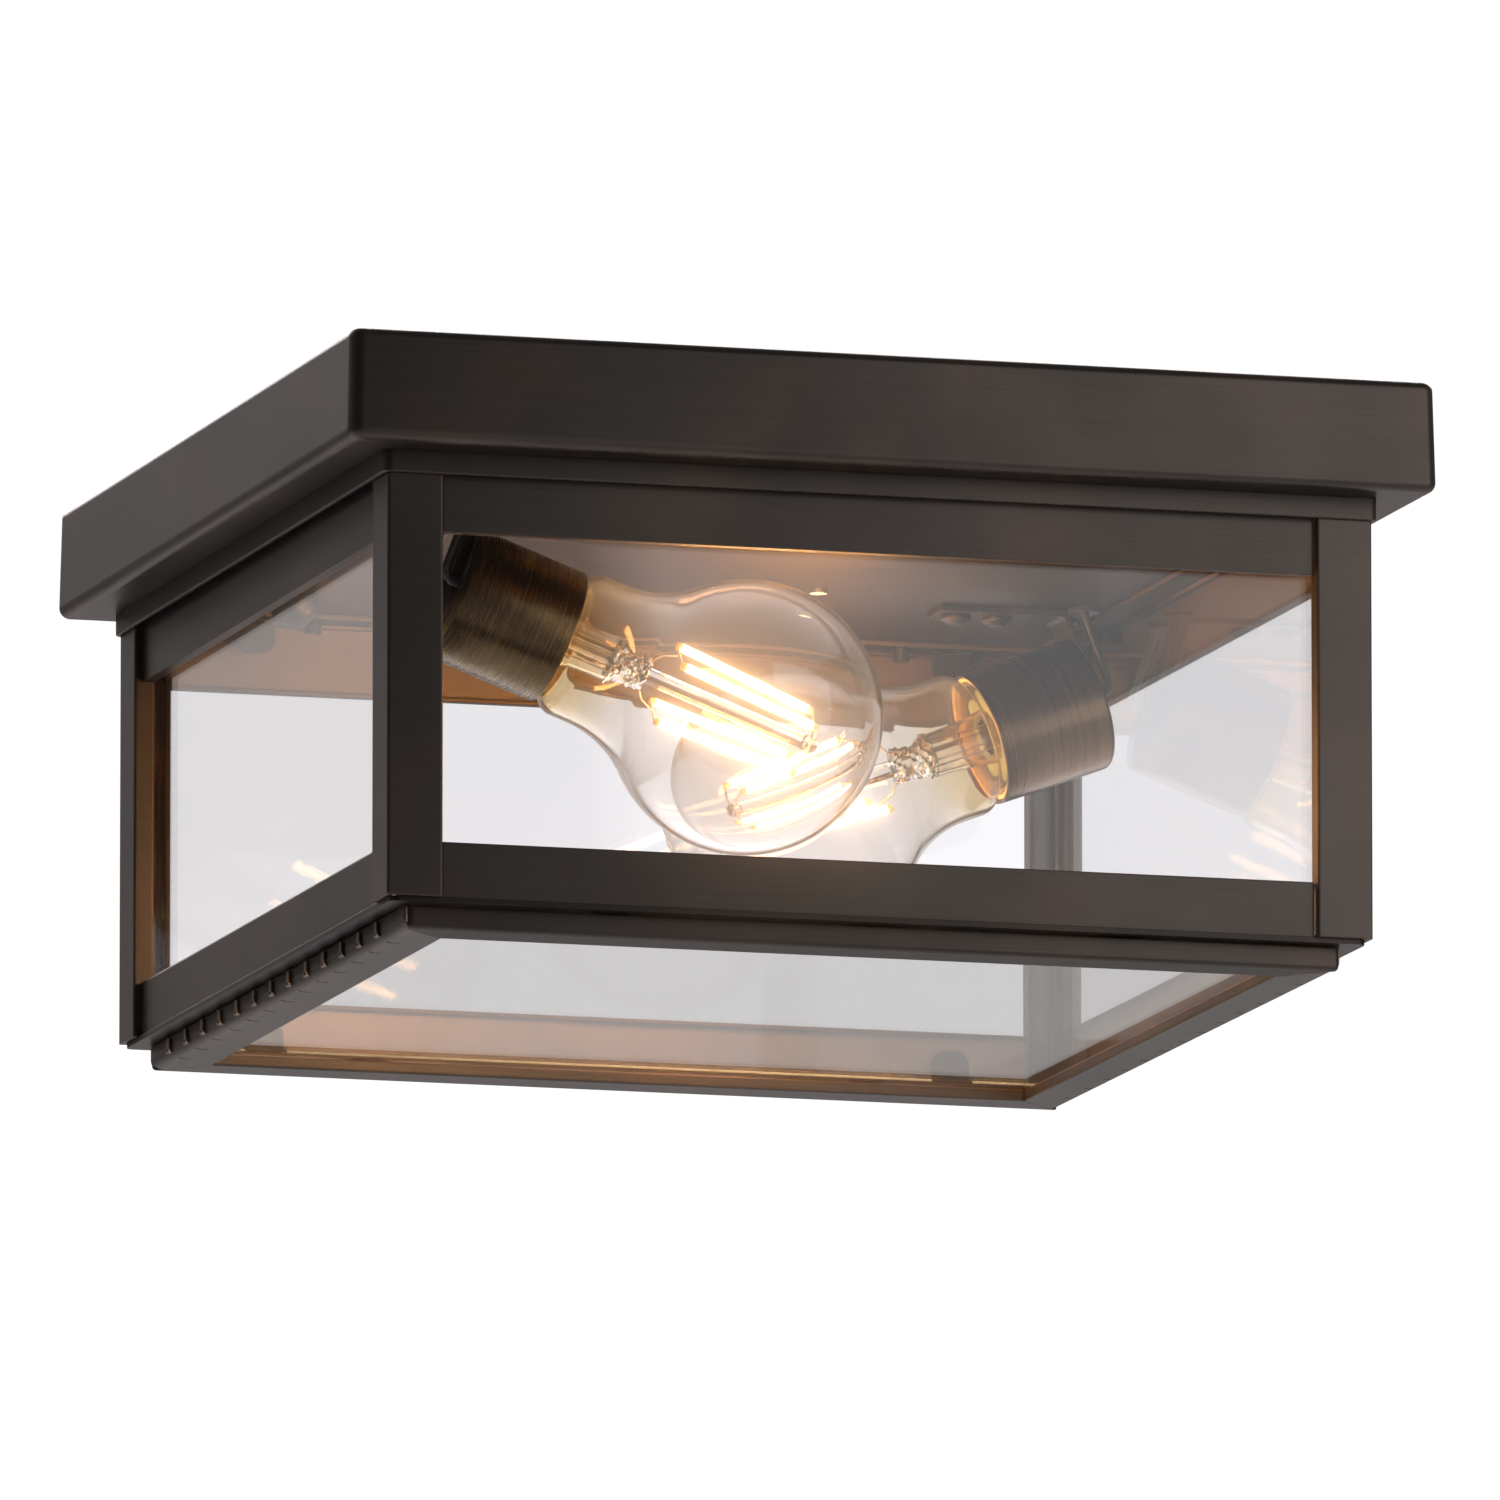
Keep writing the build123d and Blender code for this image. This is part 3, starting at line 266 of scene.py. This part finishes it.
def tube(maker, points, radii, sides_round=8):
    rings = []
    turn = math.tau / sides_round
    for i, point in enumerate(points):
        ahead = (points[min(i + 1, len(points) - 1)] - points[max(i - 1, 0)]).normalized()
        across = ahead.orthogonal() if i == 0 else across - ahead * across.dot(ahead)
        across.normalize()
        third = ahead.cross(across)
        spokes = [across * math.cos(k * turn) + third * math.sin(k * turn) for k in range(sides_round)]
        rings.append([maker.verts.new(point + spoke * radii[i]) for spoke in spokes])
    wall(maker, rings)
    maker.faces.new(list(reversed(rings[0])))
    maker.faces.new(rings[-1])
    return maker


def high(distance):
    return Vector((0, 0, distance))


panes = {side: f"glass_pane_{side}" for side in sides}
outward = {"front": Vector((0, -1, 0)), "right": Vector((1, 0, 0)), "back": Vector((0, 1, 0)),
           "left": Vector((-1, 0, 0))}
arris_radius, arris_rise = 0.00030, 0.0010
pane_glass = clear_glass("pane_glass", (0.930, 0.924, 0.940), 0.0)
dress(pane_glass, *panes.values())
arris_painted_glow = moulded_plastic("arris_painted_glow", (0.58, 0.60, 0.46), (0.76, 0.78, 0.62), 0.5)
arris_glow_skin = arris_painted_glow.node_tree.nodes["Principled BSDF"]
# The cream emission is a painted glow: lamp light led along the pane to its ground edge.
arris_glow_skin.inputs["Emission Color"].default_value = (1.0, 0.90, 0.62, 1.0)
arris_glow_skin.inputs["Emission Strength"].default_value = 0.30
for side, pane in panes.items():
    nodes[pane].visible_shadow = False
    marks = [Vector(mark) for mark in nodes[pane].bound_box]
    away = outward[side]
    along = high(1).cross(away)
    inner = min(mark.dot(away) for mark in marks)
    reach = max(mark.dot(along) for mark in marks)
    lower = min(mark.z for mark in marks) + arris_rise
    ends = [away * inner + along * end + high(lower) for end in (-reach, reach)]
    arris = tube(bmesh.new(), ends, [arris_radius] * 2)
    finish_piece(f"pane_arris_{side}", arris, Matrix(), arris_painted_glow, "fixture", "clear_glass")
clip_bronze = bronze_paint("clip_bronze", (0.036, 0.031, 0.028), (0.070, 0.060, 0.053), turning_marks)
dress(clip_bronze, "pane_clips")

# Bottom door: four folded channels mitred into a frame, with pressed louvres in the side channels.
# Clear glass rests on its ledge under bent tabs; it hangs on two pins and a tongue holds it shut.
# The louvres' bent lips and the filled seams of the corners are painted bright, a painted highlight along
# their edges.
door_half, hood_rise = 0.1101, 0.0009
lip_wire, lip_low, lip_high = 0.00028, -0.13175, -0.1285
louvre_count, louvre_pitch, louvre_slot = 13, 0.0149, 0.0013
seam_wire, seam_low, seam_high, seam_reach = 0.00018, -0.1317, -0.1282, 0.10950
door_dark, door_light = (0.034, 0.030, 0.027), (0.062, 0.054, 0.049)
door_bronze = bronze_paint("door_bronze", door_dark, door_light, level_grain)
dress(door_bronze, "hinge_pins", *(f"door_rail_{side}" for side in ("right", "back", "left")))
# This copy of the door bronze has its reflection dimmed and tinted dark: painted shade on the front channel.
front_shaded_bronze = bronze_paint("front_shaded_bronze", door_dark, door_light, level_grain, grazing=(0.10, 0.05, 0.02))
front_shaded_bronze.node_tree.nodes["Principled BSDF"].inputs["Specular IOR Level"].default_value = 0.2
dress(front_shaded_bronze, "door_rail_front")
door_glass = clear_glass("door_glass", (0.985, 0.982, 0.985), 0.0)
dress(door_glass, "bottom_glass")
nodes["bottom_glass"].visible_shadow = False
dress(clip_bronze, "glass_tabs", "catch_tongue", "catch_spring")
# The lips and seams are painted much lighter than the bronze: painted highlight.
lip_painted_highlight = bronze_paint("lip_painted_highlight", (0.30, 0.235, 0.19), (0.44, 0.35, 0.28), turning_marks)
for side, out in (("left", -1), ("right", 1)):
    lips = bmesh.new()
    crest = out * (door_half + hood_rise - lip_wire)
    for number in range(louvre_count):
        lip_at = (number - (louvre_count - 1) / 2) * louvre_pitch + louvre_slot
        bend = [Vector((crest, lip_at, lip_high)), Vector((crest, lip_at, lip_low + 3 * lip_wire)),
                Vector((crest - out * lip_wire, lip_at, lip_low + lip_wire)),
                Vector((out * door_half, lip_at, lip_low))]
        tube(lips, bend, [lip_wire] * len(bend))
    for end in (-1, 1):
        seam = [Vector((out * seam_reach, end * seam_reach, level)) for level in (seam_high, seam_low)]
        tube(lips, seam, [seam_wire] * 2)
    finish_piece(f"louvre_lips_{side}", lips, Matrix(), lip_painted_highlight, "door", "bronze")

# Lampholders: a strap bracket carries each spun brass cup, which holds a moulded sleeve and a screw shell.
# The cups are antique brass, brushed around as they turned, with a rolled lip at the mouth.
# The left cup is painted darker and browner than the right one as painted shade, and the right one lighter as
# painted light.
cup_radius, cup_length, cup_sheet, cup_edge, cup_lip = 0.01575, 0.028, 0.0008, 0.0012, 0.0004
lamp_sides = ("left", "right")
joints = {joint["name"]: joint for joint in frame["joints"]}


def holder_place(side):
    joint = joints[f"lamp_{side}_turn"]
    out = Vector(joint["axis"]).normalized()
    up = (high(1) - out * out.z).normalized()
    turned = Matrix((up, out.cross(up), out)).transposed().to_4x4()
    return Matrix.Translation(Vector(joint["pos_m"])) @ turned


def spin(maker, profile, steps=96, closed=True):
    turn = math.tau / steps
    rings = []
    for along, radius in profile:
        count = steps if radius > 1e-6 else 1
        rings.append([maker.verts.new((radius * math.cos(i * turn), radius * math.sin(i * turn), along))
                      for i in range(count)])
    for near, far in zip(rings, rings[1:] + (rings[:1] if closed else [])):
        for i in range(steps):
            j = i + 1
            around = [near[i % len(near)], near[j % len(near)], far[j % len(far)], far[i % len(far)]]
            face = list(dict.fromkeys(around))
            if len(face) > 2:
                maker.faces.new(face)
    return maker


def arc(centre, radius, start, end, count):
    steps = [math.radians(start + (end - start) * i / count) for i in range(count + 1)]
    return [(centre[0] + radius * math.cos(step), centre[1] + radius * math.sin(step)) for step in steps]


turned_grain, shell_grain, strap_grain = (8.0, 8.0, 3000.0), (40.0, 40.0, 900.0), (30.0, 900.0, 30.0)
# The two cups are shaded and lit copies of one brass: painted shade on the left, painted light on the right.
cup_finishes = {
    "left": plain_metal("cup_brown_painted_shade", (0.060, 0.041, 0.020), (0.130, 0.088, 0.044), turned_grain, 0.20, 0.34),
    "right": plain_metal("cup_brass", (0.065, 0.037, 0.017), (0.20, 0.122, 0.062), turned_grain, 0.22, 0.36)}
sleeve_cream = moulded_plastic("sleeve_cream", (0.34, 0.30, 0.16), (0.44, 0.39, 0.22), 0.38)
shell_brass = plain_metal("shell_brass", (0.60, 0.44, 0.18), (0.82, 0.64, 0.32), shell_grain, 0.20, 0.35)
bracket_bronze = bronze_paint("bracket_bronze", (0.040, 0.033, 0.028), (0.095, 0.075, 0.060), strap_grain)
dress(shell_brass, "screw_shells", "contact_leaves")
cup_bore, cup_floor = cup_radius - cup_sheet, cup_sheet - cup_length
cup_outline = [(-cup_length, 0.0)]
cup_outline += arc((cup_edge - cup_length, cup_radius - cup_edge), cup_edge, 180, 90, 8)
cup_outline += arc((-cup_lip, cup_radius - cup_lip), cup_lip, 90, 0, 4)
cup_outline += arc((-cup_lip, cup_bore + cup_lip), cup_lip, 0, -90, 4)
cup_outline += [(cup_floor, cup_bore), (cup_floor, 0.0)]
for side in lamp_sides:
    dress(bracket_bronze, f"socket_bracket_{side}")
    dress(sleeve_cream, f"socket_insulator_{side}")
    dress(shell_brass, f"bulb_contact_{side}")
    finish_piece(f"spun_cup_{side}", spin(bmesh.new(), cup_outline, closed=False), holder_place(side),
                 cup_finishes[side], "fixture", "cup_brass", f"socket_cup_{side}")

# Lamp globes and caps: clear glass blown with a drawn-in neck, set with cement in a rolled screw cap.
# Each lamp screws into its holder; a disc of cement, golden in the glow, closes the neck around the stem.
# Black glass noses carry the contacts, and the neck is tinted amber where it meets the cement, a painted
# reflection of the lit cement.
globe_radius, globe_at, glass_wall = 0.0315, 0.047, 0.0009
neck_radius, neck_from, neck_arc, neck_reflection_to = 0.017, 0.005, 0.025, 0.030
seal_radius, seal_from, seal_to = 0.0122, -0.006, -0.002
cap_rim, collar_length, thread_from, thread_pitch, thread_turns = -0.0016, 0.002, -0.0072, 0.003629, 3
thread_end = thread_from - thread_pitch * thread_turns
thread_crest, thread_depth, cap_sheet = 0.01305, 0.0008, 0.00045
nose_end, nose_tip, nose_bend, nose_rim = -0.02128, 0.0064, (-0.0190, 0.0115), 0.0118


def bulb_profile(inset):
    globe, neck, seal = globe_radius - inset, neck_radius - inset, seal_radius - inset
    sweep = neck_arc + inset
    reach = math.sqrt((globe + sweep) ** 2 - (neck + sweep) ** 2)
    meet = math.degrees(math.atan2(neck + sweep, reach))
    ease = ((neck_from - seal_to) ** 2 + (neck - seal) ** 2) / (4 * (neck - seal))
    bend = math.degrees(math.asin((neck_from - seal_to) / (2 * ease)))
    points = [(seal_from, seal)]
    points += arc((seal_to, seal + ease), ease, -90, bend - 90, 8)
    points += arc((neck_from, neck - ease), ease, 90 + bend, 90, 8)[1:]
    points += arc((globe_at - reach, neck + sweep), sweep, -90, -meet, 16)
    points += arc((globe_at, 0.0), globe, 180 - meet, 0, 48)[1:]
    return points[:-1] + [(globe_at + globe, 0.0)]


def thread_ring(maker, along, offset, steps=72):
    run_in = (thread_from - along) / thread_pitch
    run_out = (along - thread_end) / thread_pitch * 2
    cut = thread_depth * max(0.0, min(1.0, run_in, run_out))
    ring = []
    for i in range(steps):
        angle = math.tau * i / steps
        swell = 0.5 + 0.5 * math.cos(math.tau * along / thread_pitch - angle)
        radius = thread_crest - cut * (1.0 - swell) - offset
        ring.append(maker.verts.new((radius * math.cos(angle), radius * math.sin(angle), along)))
    return ring


def threaded_cap(maker, rows=40):
    stations = [cap_rim, cap_rim - collar_length, thread_from]
    stations += [thread_from - thread_pitch * thread_turns * i / rows for i in range(1, rows + 1)]
    outer = [thread_ring(maker, along, 0.0) for along in stations]
    inner = [thread_ring(maker, along, cap_sheet) for along in stations]
    wall(maker, outer[::-1] + inner + outer[-1:])
    return maker


bulb_clear = clear_glass("bulb_clear", (0.880, 0.872, 0.868), 0.0)
bulb_tree = bulb_clear.node_tree
bulb_skin = bulb_tree.nodes["Principled BSDF"]
# The amber tint near the neck is a painted reflection of the cement lit by the sticks.
neck_spot = shade(bulb_tree, "TexCoord", {}).outputs["Object"]
neck_along = shade(bulb_tree, "SeparateXYZ", {"Vector": neck_spot}).outputs["Z"]
neck_part = number_range(bulb_tree, neck_along, 0.0, 1.0, seal_from, neck_reflection_to)
neck_painted_reflection = colour_ramp(bulb_tree, neck_part, (0.15, (0.86, 0.74, 0.46)), (0.35, (0.90, 0.80, 0.60)),
                         (0.75, (1.0, 1.0, 1.0)))
clear_tint = bulb_skin.inputs["Base Color"].links[0].from_socket
bulb_tree.links.new(blend(bulb_tree, 1.0, clear_tint, neck_painted_reflection, "MULTIPLY"), bulb_skin.inputs["Base Color"])
# The globe glass glows faintly warm: a painted glow of the sticks' light in the glass.
bulb_skin.inputs["Emission Color"].default_value = (1.0, 0.56, 0.22, 1.0)
bulb_skin.inputs["Emission Strength"].default_value = 0.03
cap_metal = plain_metal("cap_metal", (0.62, 0.50, 0.30), (0.82, 0.68, 0.44), (30.0, 30.0, 900.0), 0.18, 0.32)
nose_glass = moulded_plastic("nose_glass", (0.012, 0.010, 0.012), (0.030, 0.026, 0.030), 0.2)
cement_gold = moulded_plastic("cement_gold", (0.15, 0.21, 0.15), (0.21, 0.28, 0.21), 0.45)
cement = [(-0.0045, 0.0113), (-0.0034, 0.0113), (-0.0026, 0.0100), (-0.0024, 0.0068), (-0.0034, 0.0068)]
nose = [(thread_end, 0.0), (nose_end, 0.0), (nose_end, nose_tip), nose_bend, (thread_end, nose_rim)]
blown_shell = bulb_profile(0.0) + bulb_profile(glass_wall)[::-1]
for side in lamp_sides:
    place, body = holder_place(side), f"lamp_{side}"
    globe = finish_piece(f"lamp_globe_{side}", spin(bmesh.new(), blown_shell), place, bulb_clear, body,
                         "lamp_glass", f"bulb_glass_{side}")
    globe.visible_shadow = False
    finish_piece(f"lamp_cap_{side}", threaded_cap(bmesh.new()), place, cap_metal, body, "lamp_cap",
                 f"bulb_cap_{side}")
    finish_piece(f"lamp_nose_{side}", spin(bmesh.new(), nose, 48, False), place, nose_glass, body, "lamp_cap")
    finish_piece(f"lamp_cement_{side}", spin(bmesh.new(), cement, 64), place, cement_gold, body, "insulator")

# Lamp insides: a flared glass stem with its exhaust tube, pinched to a crumpled press, and a glass rod.
# Four coated sticks stand around the rod on fine wires, two to each lead, and glow from end to end.
stem_from, stem_to, press_length, press_half, press_thin = seal_from, 0.013, 0.009, 0.0050, 0.0031
press_to = stem_to + press_length
press_folds = ((0.10, 3, 9, 0.0), (0.09, 7, -23, 1.3), (0.07, 11, 41, 0.4))
press_waist, press_taper, thick_fold, press_ripple = 0.22, 0.25, 1.4, 0.0004
rod_radius, rod_middle, rod_to, bead_radius = 0.0020, 0.045, 0.0632, 0.0021
rod_taper = (1.0, 0.97, 0.93)
exhaust_radius, exhaust_bore, exhaust_from = 0.0017, 0.0011, -0.0055
stick_radius, stick_from, stick_length, stick_spread, stick_draw = 0.00095, 0.027, 0.035, 0.0103, 0.002
stick_count, stick_strength = 4, 120.0
wire_radius, wire_past, hook_lift, hook_drop, bar_rise = 0.00022, 0.0012, 0.0006, 0.0004, 0.0003
lead_from, lead_offset, lead_press, lead_bend, lead_rise = -0.0050, 0.0029, 0.0036, 0.0058, 0.0016
lamp_turns = {"left": 75.0, "right": 29.0}


def glowing_stick(name):
    white, dim, out = (1.0, 1.0, 1.0), (0.006, 0.002, 0.0003), (0.003, 0.0008, 0.0001)
    material, tree, skin = new_finish(name)
    place = shade(tree, "TexCoord", {}).outputs["Object"]
    along = shade(tree, "SeparateXYZ", {"Vector": place}).outputs["Z"]
    part = number_range(tree, along, 0.0, 1.0, stick_from, stick_from + stick_length)
    grain = noise(tree, (900.0, 900.0, 260.0), 3.0)
    bead_glow = colour_ramp(tree, grain, (0.25, (0.9, 0.44, 0.15)), (0.6, (1.0, 0.54, 0.20)))
    tips = colour_ramp(tree, part, (0.0, out), (0.035, dim), (0.10, white), (0.90, white), (0.965, dim),
                       (1.0, out))
    tree.links.new(blend(tree, 1.0, bead_glow, tips, "MULTIPLY"), skin.inputs["Emission Color"])
    skin.inputs["Emission Strength"].default_value = stick_strength
    coating = colour_ramp(tree, grain, (0.3, (0.70, 0.36, 0.08)), (0.7, (0.85, 0.50, 0.16)))
    tree.links.new(coating, skin.inputs["Base Color"])
    tree.links.new(number_range(tree, grain, 0.45, 0.65), skin.inputs["Roughness"])
    return material


def crumpled_press(maker, turned, rows=18, around=26):
    rings = []
    for row in range(rows + 1):
        part = row / rows
        waist = 1.0 - press_waist * math.sin(math.pi * part) ** 2 - press_taper * part ** 3
        ring = []
        for k in range(around):
            angle = math.tau * k / around
            fold = sum(size * math.sin(turns * angle + rise * part + shift)
                       for size, turns, rise, shift in press_folds)
            across = press_half * waist * (1.0 + fold) * math.cos(angle)
            thick = press_thin * waist * (1.0 + thick_fold * fold) * math.sin(angle)
            level = stem_to + press_length * part + press_ripple * math.sin(5 * angle)
            ring.append(maker.verts.new(Matrix.Rotation(turned, 3, "Z") @ Vector((across, thick, level))))
        rings.append(ring)
    wall(maker, rings)
    maker.faces.new(list(reversed(rings[0])))
    maker.faces.new(rings[-1])
    return maker


def stick_ends(first, number):
    angle = math.radians(first + number * 360 / stick_count)
    across = Vector((math.cos(angle), math.sin(angle), 0))
    near = across * stick_spread + high(stick_from)
    return near, across * (stick_spread - stick_draw) + high(stick_from + stick_length)


def rounded_stick(maker, near, far):
    ahead = (far - near).normalized()
    ease = ((0.0, 0.35), (0.15, 0.75), (0.5, 1.0))
    points = [near + ahead * (part * stick_radius) for part, _ in ease]
    points += [far - ahead * (part * stick_radius) for part, _ in reversed(ease)]
    widths = [width * stick_radius for _, width in ease]
    return tube(maker, points, widths + widths[::-1], 14)


stem_clear = clear_glass("stem_clear", (0.97, 0.94, 0.90), 0.02)
press_glass = clear_glass("press_glass", (0.95, 0.86, 0.68), 0.05)
wire_grain = (500.0, 500.0, 500.0)
wire_metal = plain_metal("wire_metal", (0.45, 0.36, 0.26), (0.72, 0.62, 0.48), wire_grain, 0.2, 0.4)
stick_glow = glowing_stick("stick_glow")
flare = [(stem_from, 0.0110), (-0.0052, 0.0110), (-0.0046, 0.0092), (-0.0036, 0.0076), (-0.0020, 0.0066),
         (0.0, 0.0061), (0.004, 0.0056), (0.009, 0.0052), (stem_to, 0.0051)]
flare += [(stem_to, 0.0043), (0.009, 0.0044), (0.004, 0.0048), (0.0, 0.0053), (-0.0020, 0.0058),
          (-0.0036, 0.0068), (-0.0050, 0.0088), (stem_from, 0.0098)]
exhaust = [(exhaust_from, exhaust_radius), (stem_to, exhaust_radius), (stem_to, exhaust_bore),
           (exhaust_from, exhaust_bore)]
rod_line = [high(press_to), high(rod_middle), high(rod_to)]
rod_widths = [rod_radius * share for share in rod_taper]
bead = arc((rod_to, 0.0), bead_radius, 0, 180, 10)
bead = [(along, max(radius, 0.0)) for along, radius in bead]
for side in lamp_sides:
    place, body, first = holder_place(side), f"lamp_{side}", lamp_turns[side]
    pair_angle = math.radians(first - 45)
    stem = spin(spin(bmesh.new(), flare, 64), exhaust, 32)
    tube(stem, rod_line, rod_widths, 20)
    spin(stem, bead, 24, False)
    press = crumpled_press(bmesh.new(), pair_angle)
    wires, sticks = bmesh.new(), bmesh.new()
    ends = [stick_ends(first, number) for number in range(stick_count)]
    for near, far in ends:
        rounded_stick(sticks, near, far)
        hook_end = far + Vector((far.x, far.y, 0)).normalized() * wire_past - high(hook_drop)
        hook = [high(rod_to), (far + high(rod_to)) * 0.5 + high(hook_lift), hook_end]
        tube(wires, hook, [wire_radius] * len(hook))
    for one, other, lean in ((3, 0, 1.0), (1, 2, -1.0)):
        start, stop = ends[one][0] + high(bar_rise), ends[other][0] + high(bar_rise)
        past = (stop - start).normalized() * wire_past
        tube(wires, [start - past, stop + past], [wire_radius] * 2)
        out = Vector((math.cos(pair_angle), math.sin(pair_angle), 0)) * lean
        lead = [out * lead_offset + high(lead_from), out * lead_offset + high(stem_to),
                out * lead_press + high(press_to), out * lead_bend + high(press_to + lead_rise),
                (start + stop) * 0.5]
        tube(wires, lead, [wire_radius] * len(lead))
    inside = [finish_piece(f"lamp_stem_{side}", stem, place, stem_clear, body, "lamp_glass",
                           f"bulb_stem_{side}"),
              finish_piece(f"lamp_press_{side}", press, place, press_glass, body, "lamp_glass", smooth=14.0),
              finish_piece(f"lamp_wires_{side}", wires, place, wire_metal, body, "lamp_cap"),
              finish_piece(f"lamp_sticks_{side}", sticks, place, stick_glow, body, "filament",
                           f"bulb_filaments_{side}")]
    for piece in inside:
        piece.visible_shadow = False

# Studio: a pale floor far below, a white backdrop seen straight or through glass, and a dim grey room.
# One soft box ahead fades to the left along the bronze, and a second one shows in the panes alone.
# A third, large one lights the floor behind, which lights the undersides.
floor_level, floor_half = -5.5, 26.0
backdrop_level, room_tint = 1.05, (1.0, 0.97, 0.95, 1.0)
room_near, room_far, room_low, room_high = 0.03, 0.60, 0.62, 1.0
box_ahead, box_width, box_height = 0.50, 0.70, 0.52
floor_mesh = bpy.data.meshes.new("pale_floor")
ground = bmesh.new()
bmesh.ops.create_grid(ground, x_segments=2, y_segments=2, size=floor_half)
ground.to_mesh(floor_mesh)
ground.free()
floor = bpy.data.objects.new("pale_floor", floor_mesh)
floor.location.z = floor_level
bpy.context.scene.collection.objects.link(floor)
pale, pale_tree, pale_skin = new_finish("pale_floor")
pale_cloud = noise(pale_tree, (0.8, 0.8, 0.8))
pale_paint = colour_ramp(pale_tree, pale_cloud, (0.3, (0.78, 0.78, 0.78)), (0.7, (0.82, 0.82, 0.82)))
pale_tree.links.new(pale_paint, pale_skin.inputs["Base Color"])
pale_skin.inputs["Roughness"].default_value = 0.9
floor_mesh.materials.append(pale)

world = bpy.data.worlds.new("white_surround")
world.use_nodes = True
bpy.context.scene.world = world
sky = world.node_tree
paths = shade(sky, "LightPath", {}).outputs
bounces = shade(sky, "Math", {0: paths["Glossy Depth"], 1: paths["Diffuse Depth"]}).outputs[0]
straight = shade(sky, "Math", {0: bounces, 1: 0.5}, operation="LESS_THAN").outputs[0]
backdrop = sky.nodes["Background"]
backdrop.inputs["Color"].default_value = (1.0, 1.0, 1.0, 1.0)
backdrop.inputs["Strength"].default_value = backdrop_level
ray = shade(sky, "SeparateXYZ", {"Vector": shade(sky, "TexCoord", {}).outputs["Generated"]}).outputs
behind = number_range(sky, ray["Y"], room_near, room_far, -0.6, 1.0)
above = number_range(sky, ray["Z"], room_low, room_high, -0.25, 0.10)
room_level = shade(sky, "Math", {0: behind, 1: above}, operation="MULTIPLY").outputs[0]
room = shade(sky, "Background", {"Color": room_tint, "Strength": room_level})
joined = shade(sky, "MixShader", {0: straight, 1: room.outputs[0], 2: backdrop.outputs[0]})
sky.links.new(joined.outputs[0], sky.nodes["World Output"].inputs["Surface"])


def soft_box(name, spot, aim, width, height, power, colour, fade_share=0.0):
    lamp = bpy.data.lights.new(name, "AREA")
    lamp.shape = "RECTANGLE"
    lamp.size, lamp.size_y = width, height
    lamp.energy = power
    lamp.color = colour
    if fade_share:
        lamp.use_nodes = True
        cloth = lamp.node_tree
        across = shade(cloth, "NewGeometry", {}).outputs["Parametric"]
        part = shade(cloth, "SeparateXYZ", {"Vector": across}).outputs["X"]
        fade = number_range(cloth, part, 0.0, 1.0, 0.0, fade_share)
        cloth.links.new(fade, cloth.nodes["Emission"].inputs["Strength"])
    box = bpy.data.objects.new(name, lamp)
    box.location = spot
    box.rotation_mode = "QUATERNION"
    box.rotation_quaternion = (Vector(aim) - Vector(spot)).to_track_quat("-Z", "Y")
    box.visible_camera = False
    bpy.context.scene.collection.objects.link(box)
    return box


for name, right, power, tint, fade_share, link_state in (
        ("front_box", 0.35, 2.65, (1.0, 0.96, 0.94), 0.30, "EXCLUDE"),
        ("glass_box", 0.392, 1.75, (1.0, 1.0, 1.0), 0.03, "INCLUDE")):
    box = soft_box(name, (right, -box_ahead, 0.0), (right, 0.0, 0.0), box_width, box_height, power, tint,
                   fade_share)
    linked_panes = bpy.data.collections.new(f"{name}_panes")
    for pane in panes.values():
        linked_panes.objects.link(nodes[pane])
    for entry in linked_panes.collection_objects:
        entry.light_linking.link_state = link_state
    box.light_linking.receiver_collection = linked_panes
floor_box = soft_box("floor_box", (0.9, 9.2, 4.0), (0.9, 9.2, floor_level), 12.8, 11.0, 4370.0,
                     (1.0, 0.97, 1.0))
floor_box.visible_transmission = False

# Camera: a long lens ahead of the light, to its left and below its level, at the photograph's angle.
# The lens blooms a little around the glowing sticks.
azimuth, elevation = math.radians(-16.3057), math.radians(-9.347)
camera_spot, lens_length, sensor = (-1.7927, -6.1377, -1.1228), 678.23, 36.0
glass_bounces = 28
bloom = {"Threshold": 1.8, "Clamp": True, "Maximum": 14.0, "Strength": 0.38, "Saturation": 0.8,
         "Tint": (1.0, 0.96, 0.80, 1.0), "Size": 0.12}
scene = bpy.context.scene
camera_data = bpy.data.cameras.new("photo_camera")
camera_data.sensor_width = sensor
camera_data.lens = lens_length
camera_data.clip_start, camera_data.clip_end = 0.1, 100.0
camera = bpy.data.objects.new("photo_camera", camera_data)
sight = Vector((-math.sin(azimuth) * math.cos(elevation), math.cos(azimuth) * math.cos(elevation),
                -math.sin(elevation)))
camera.rotation_mode = "QUATERNION"
camera.rotation_quaternion = sight.to_track_quat("-Z", "Y")
camera.location = camera_spot
scene.collection.objects.link(camera)
scene.camera = camera
scene.view_settings.view_transform = "Standard"
scene.cycles.max_bounces = glass_bounces
scene.cycles.transmission_bounces = glass_bounces
scene.use_nodes = True
develop = scene.node_tree
picture = next(step for step in develop.nodes if step.type == "R_LAYERS")
result = next(step for step in develop.nodes if step.type == "COMPOSITE")
halo = develop.nodes.new("CompositorNodeGlare")
halo.glare_type = "BLOOM"
for key, value in bloom.items():
    halo.inputs[key].default_value = value
develop.links.new(picture.outputs["Image"], halo.inputs["Image"])
develop.links.new(halo.outputs["Image"], result.inputs["Image"])
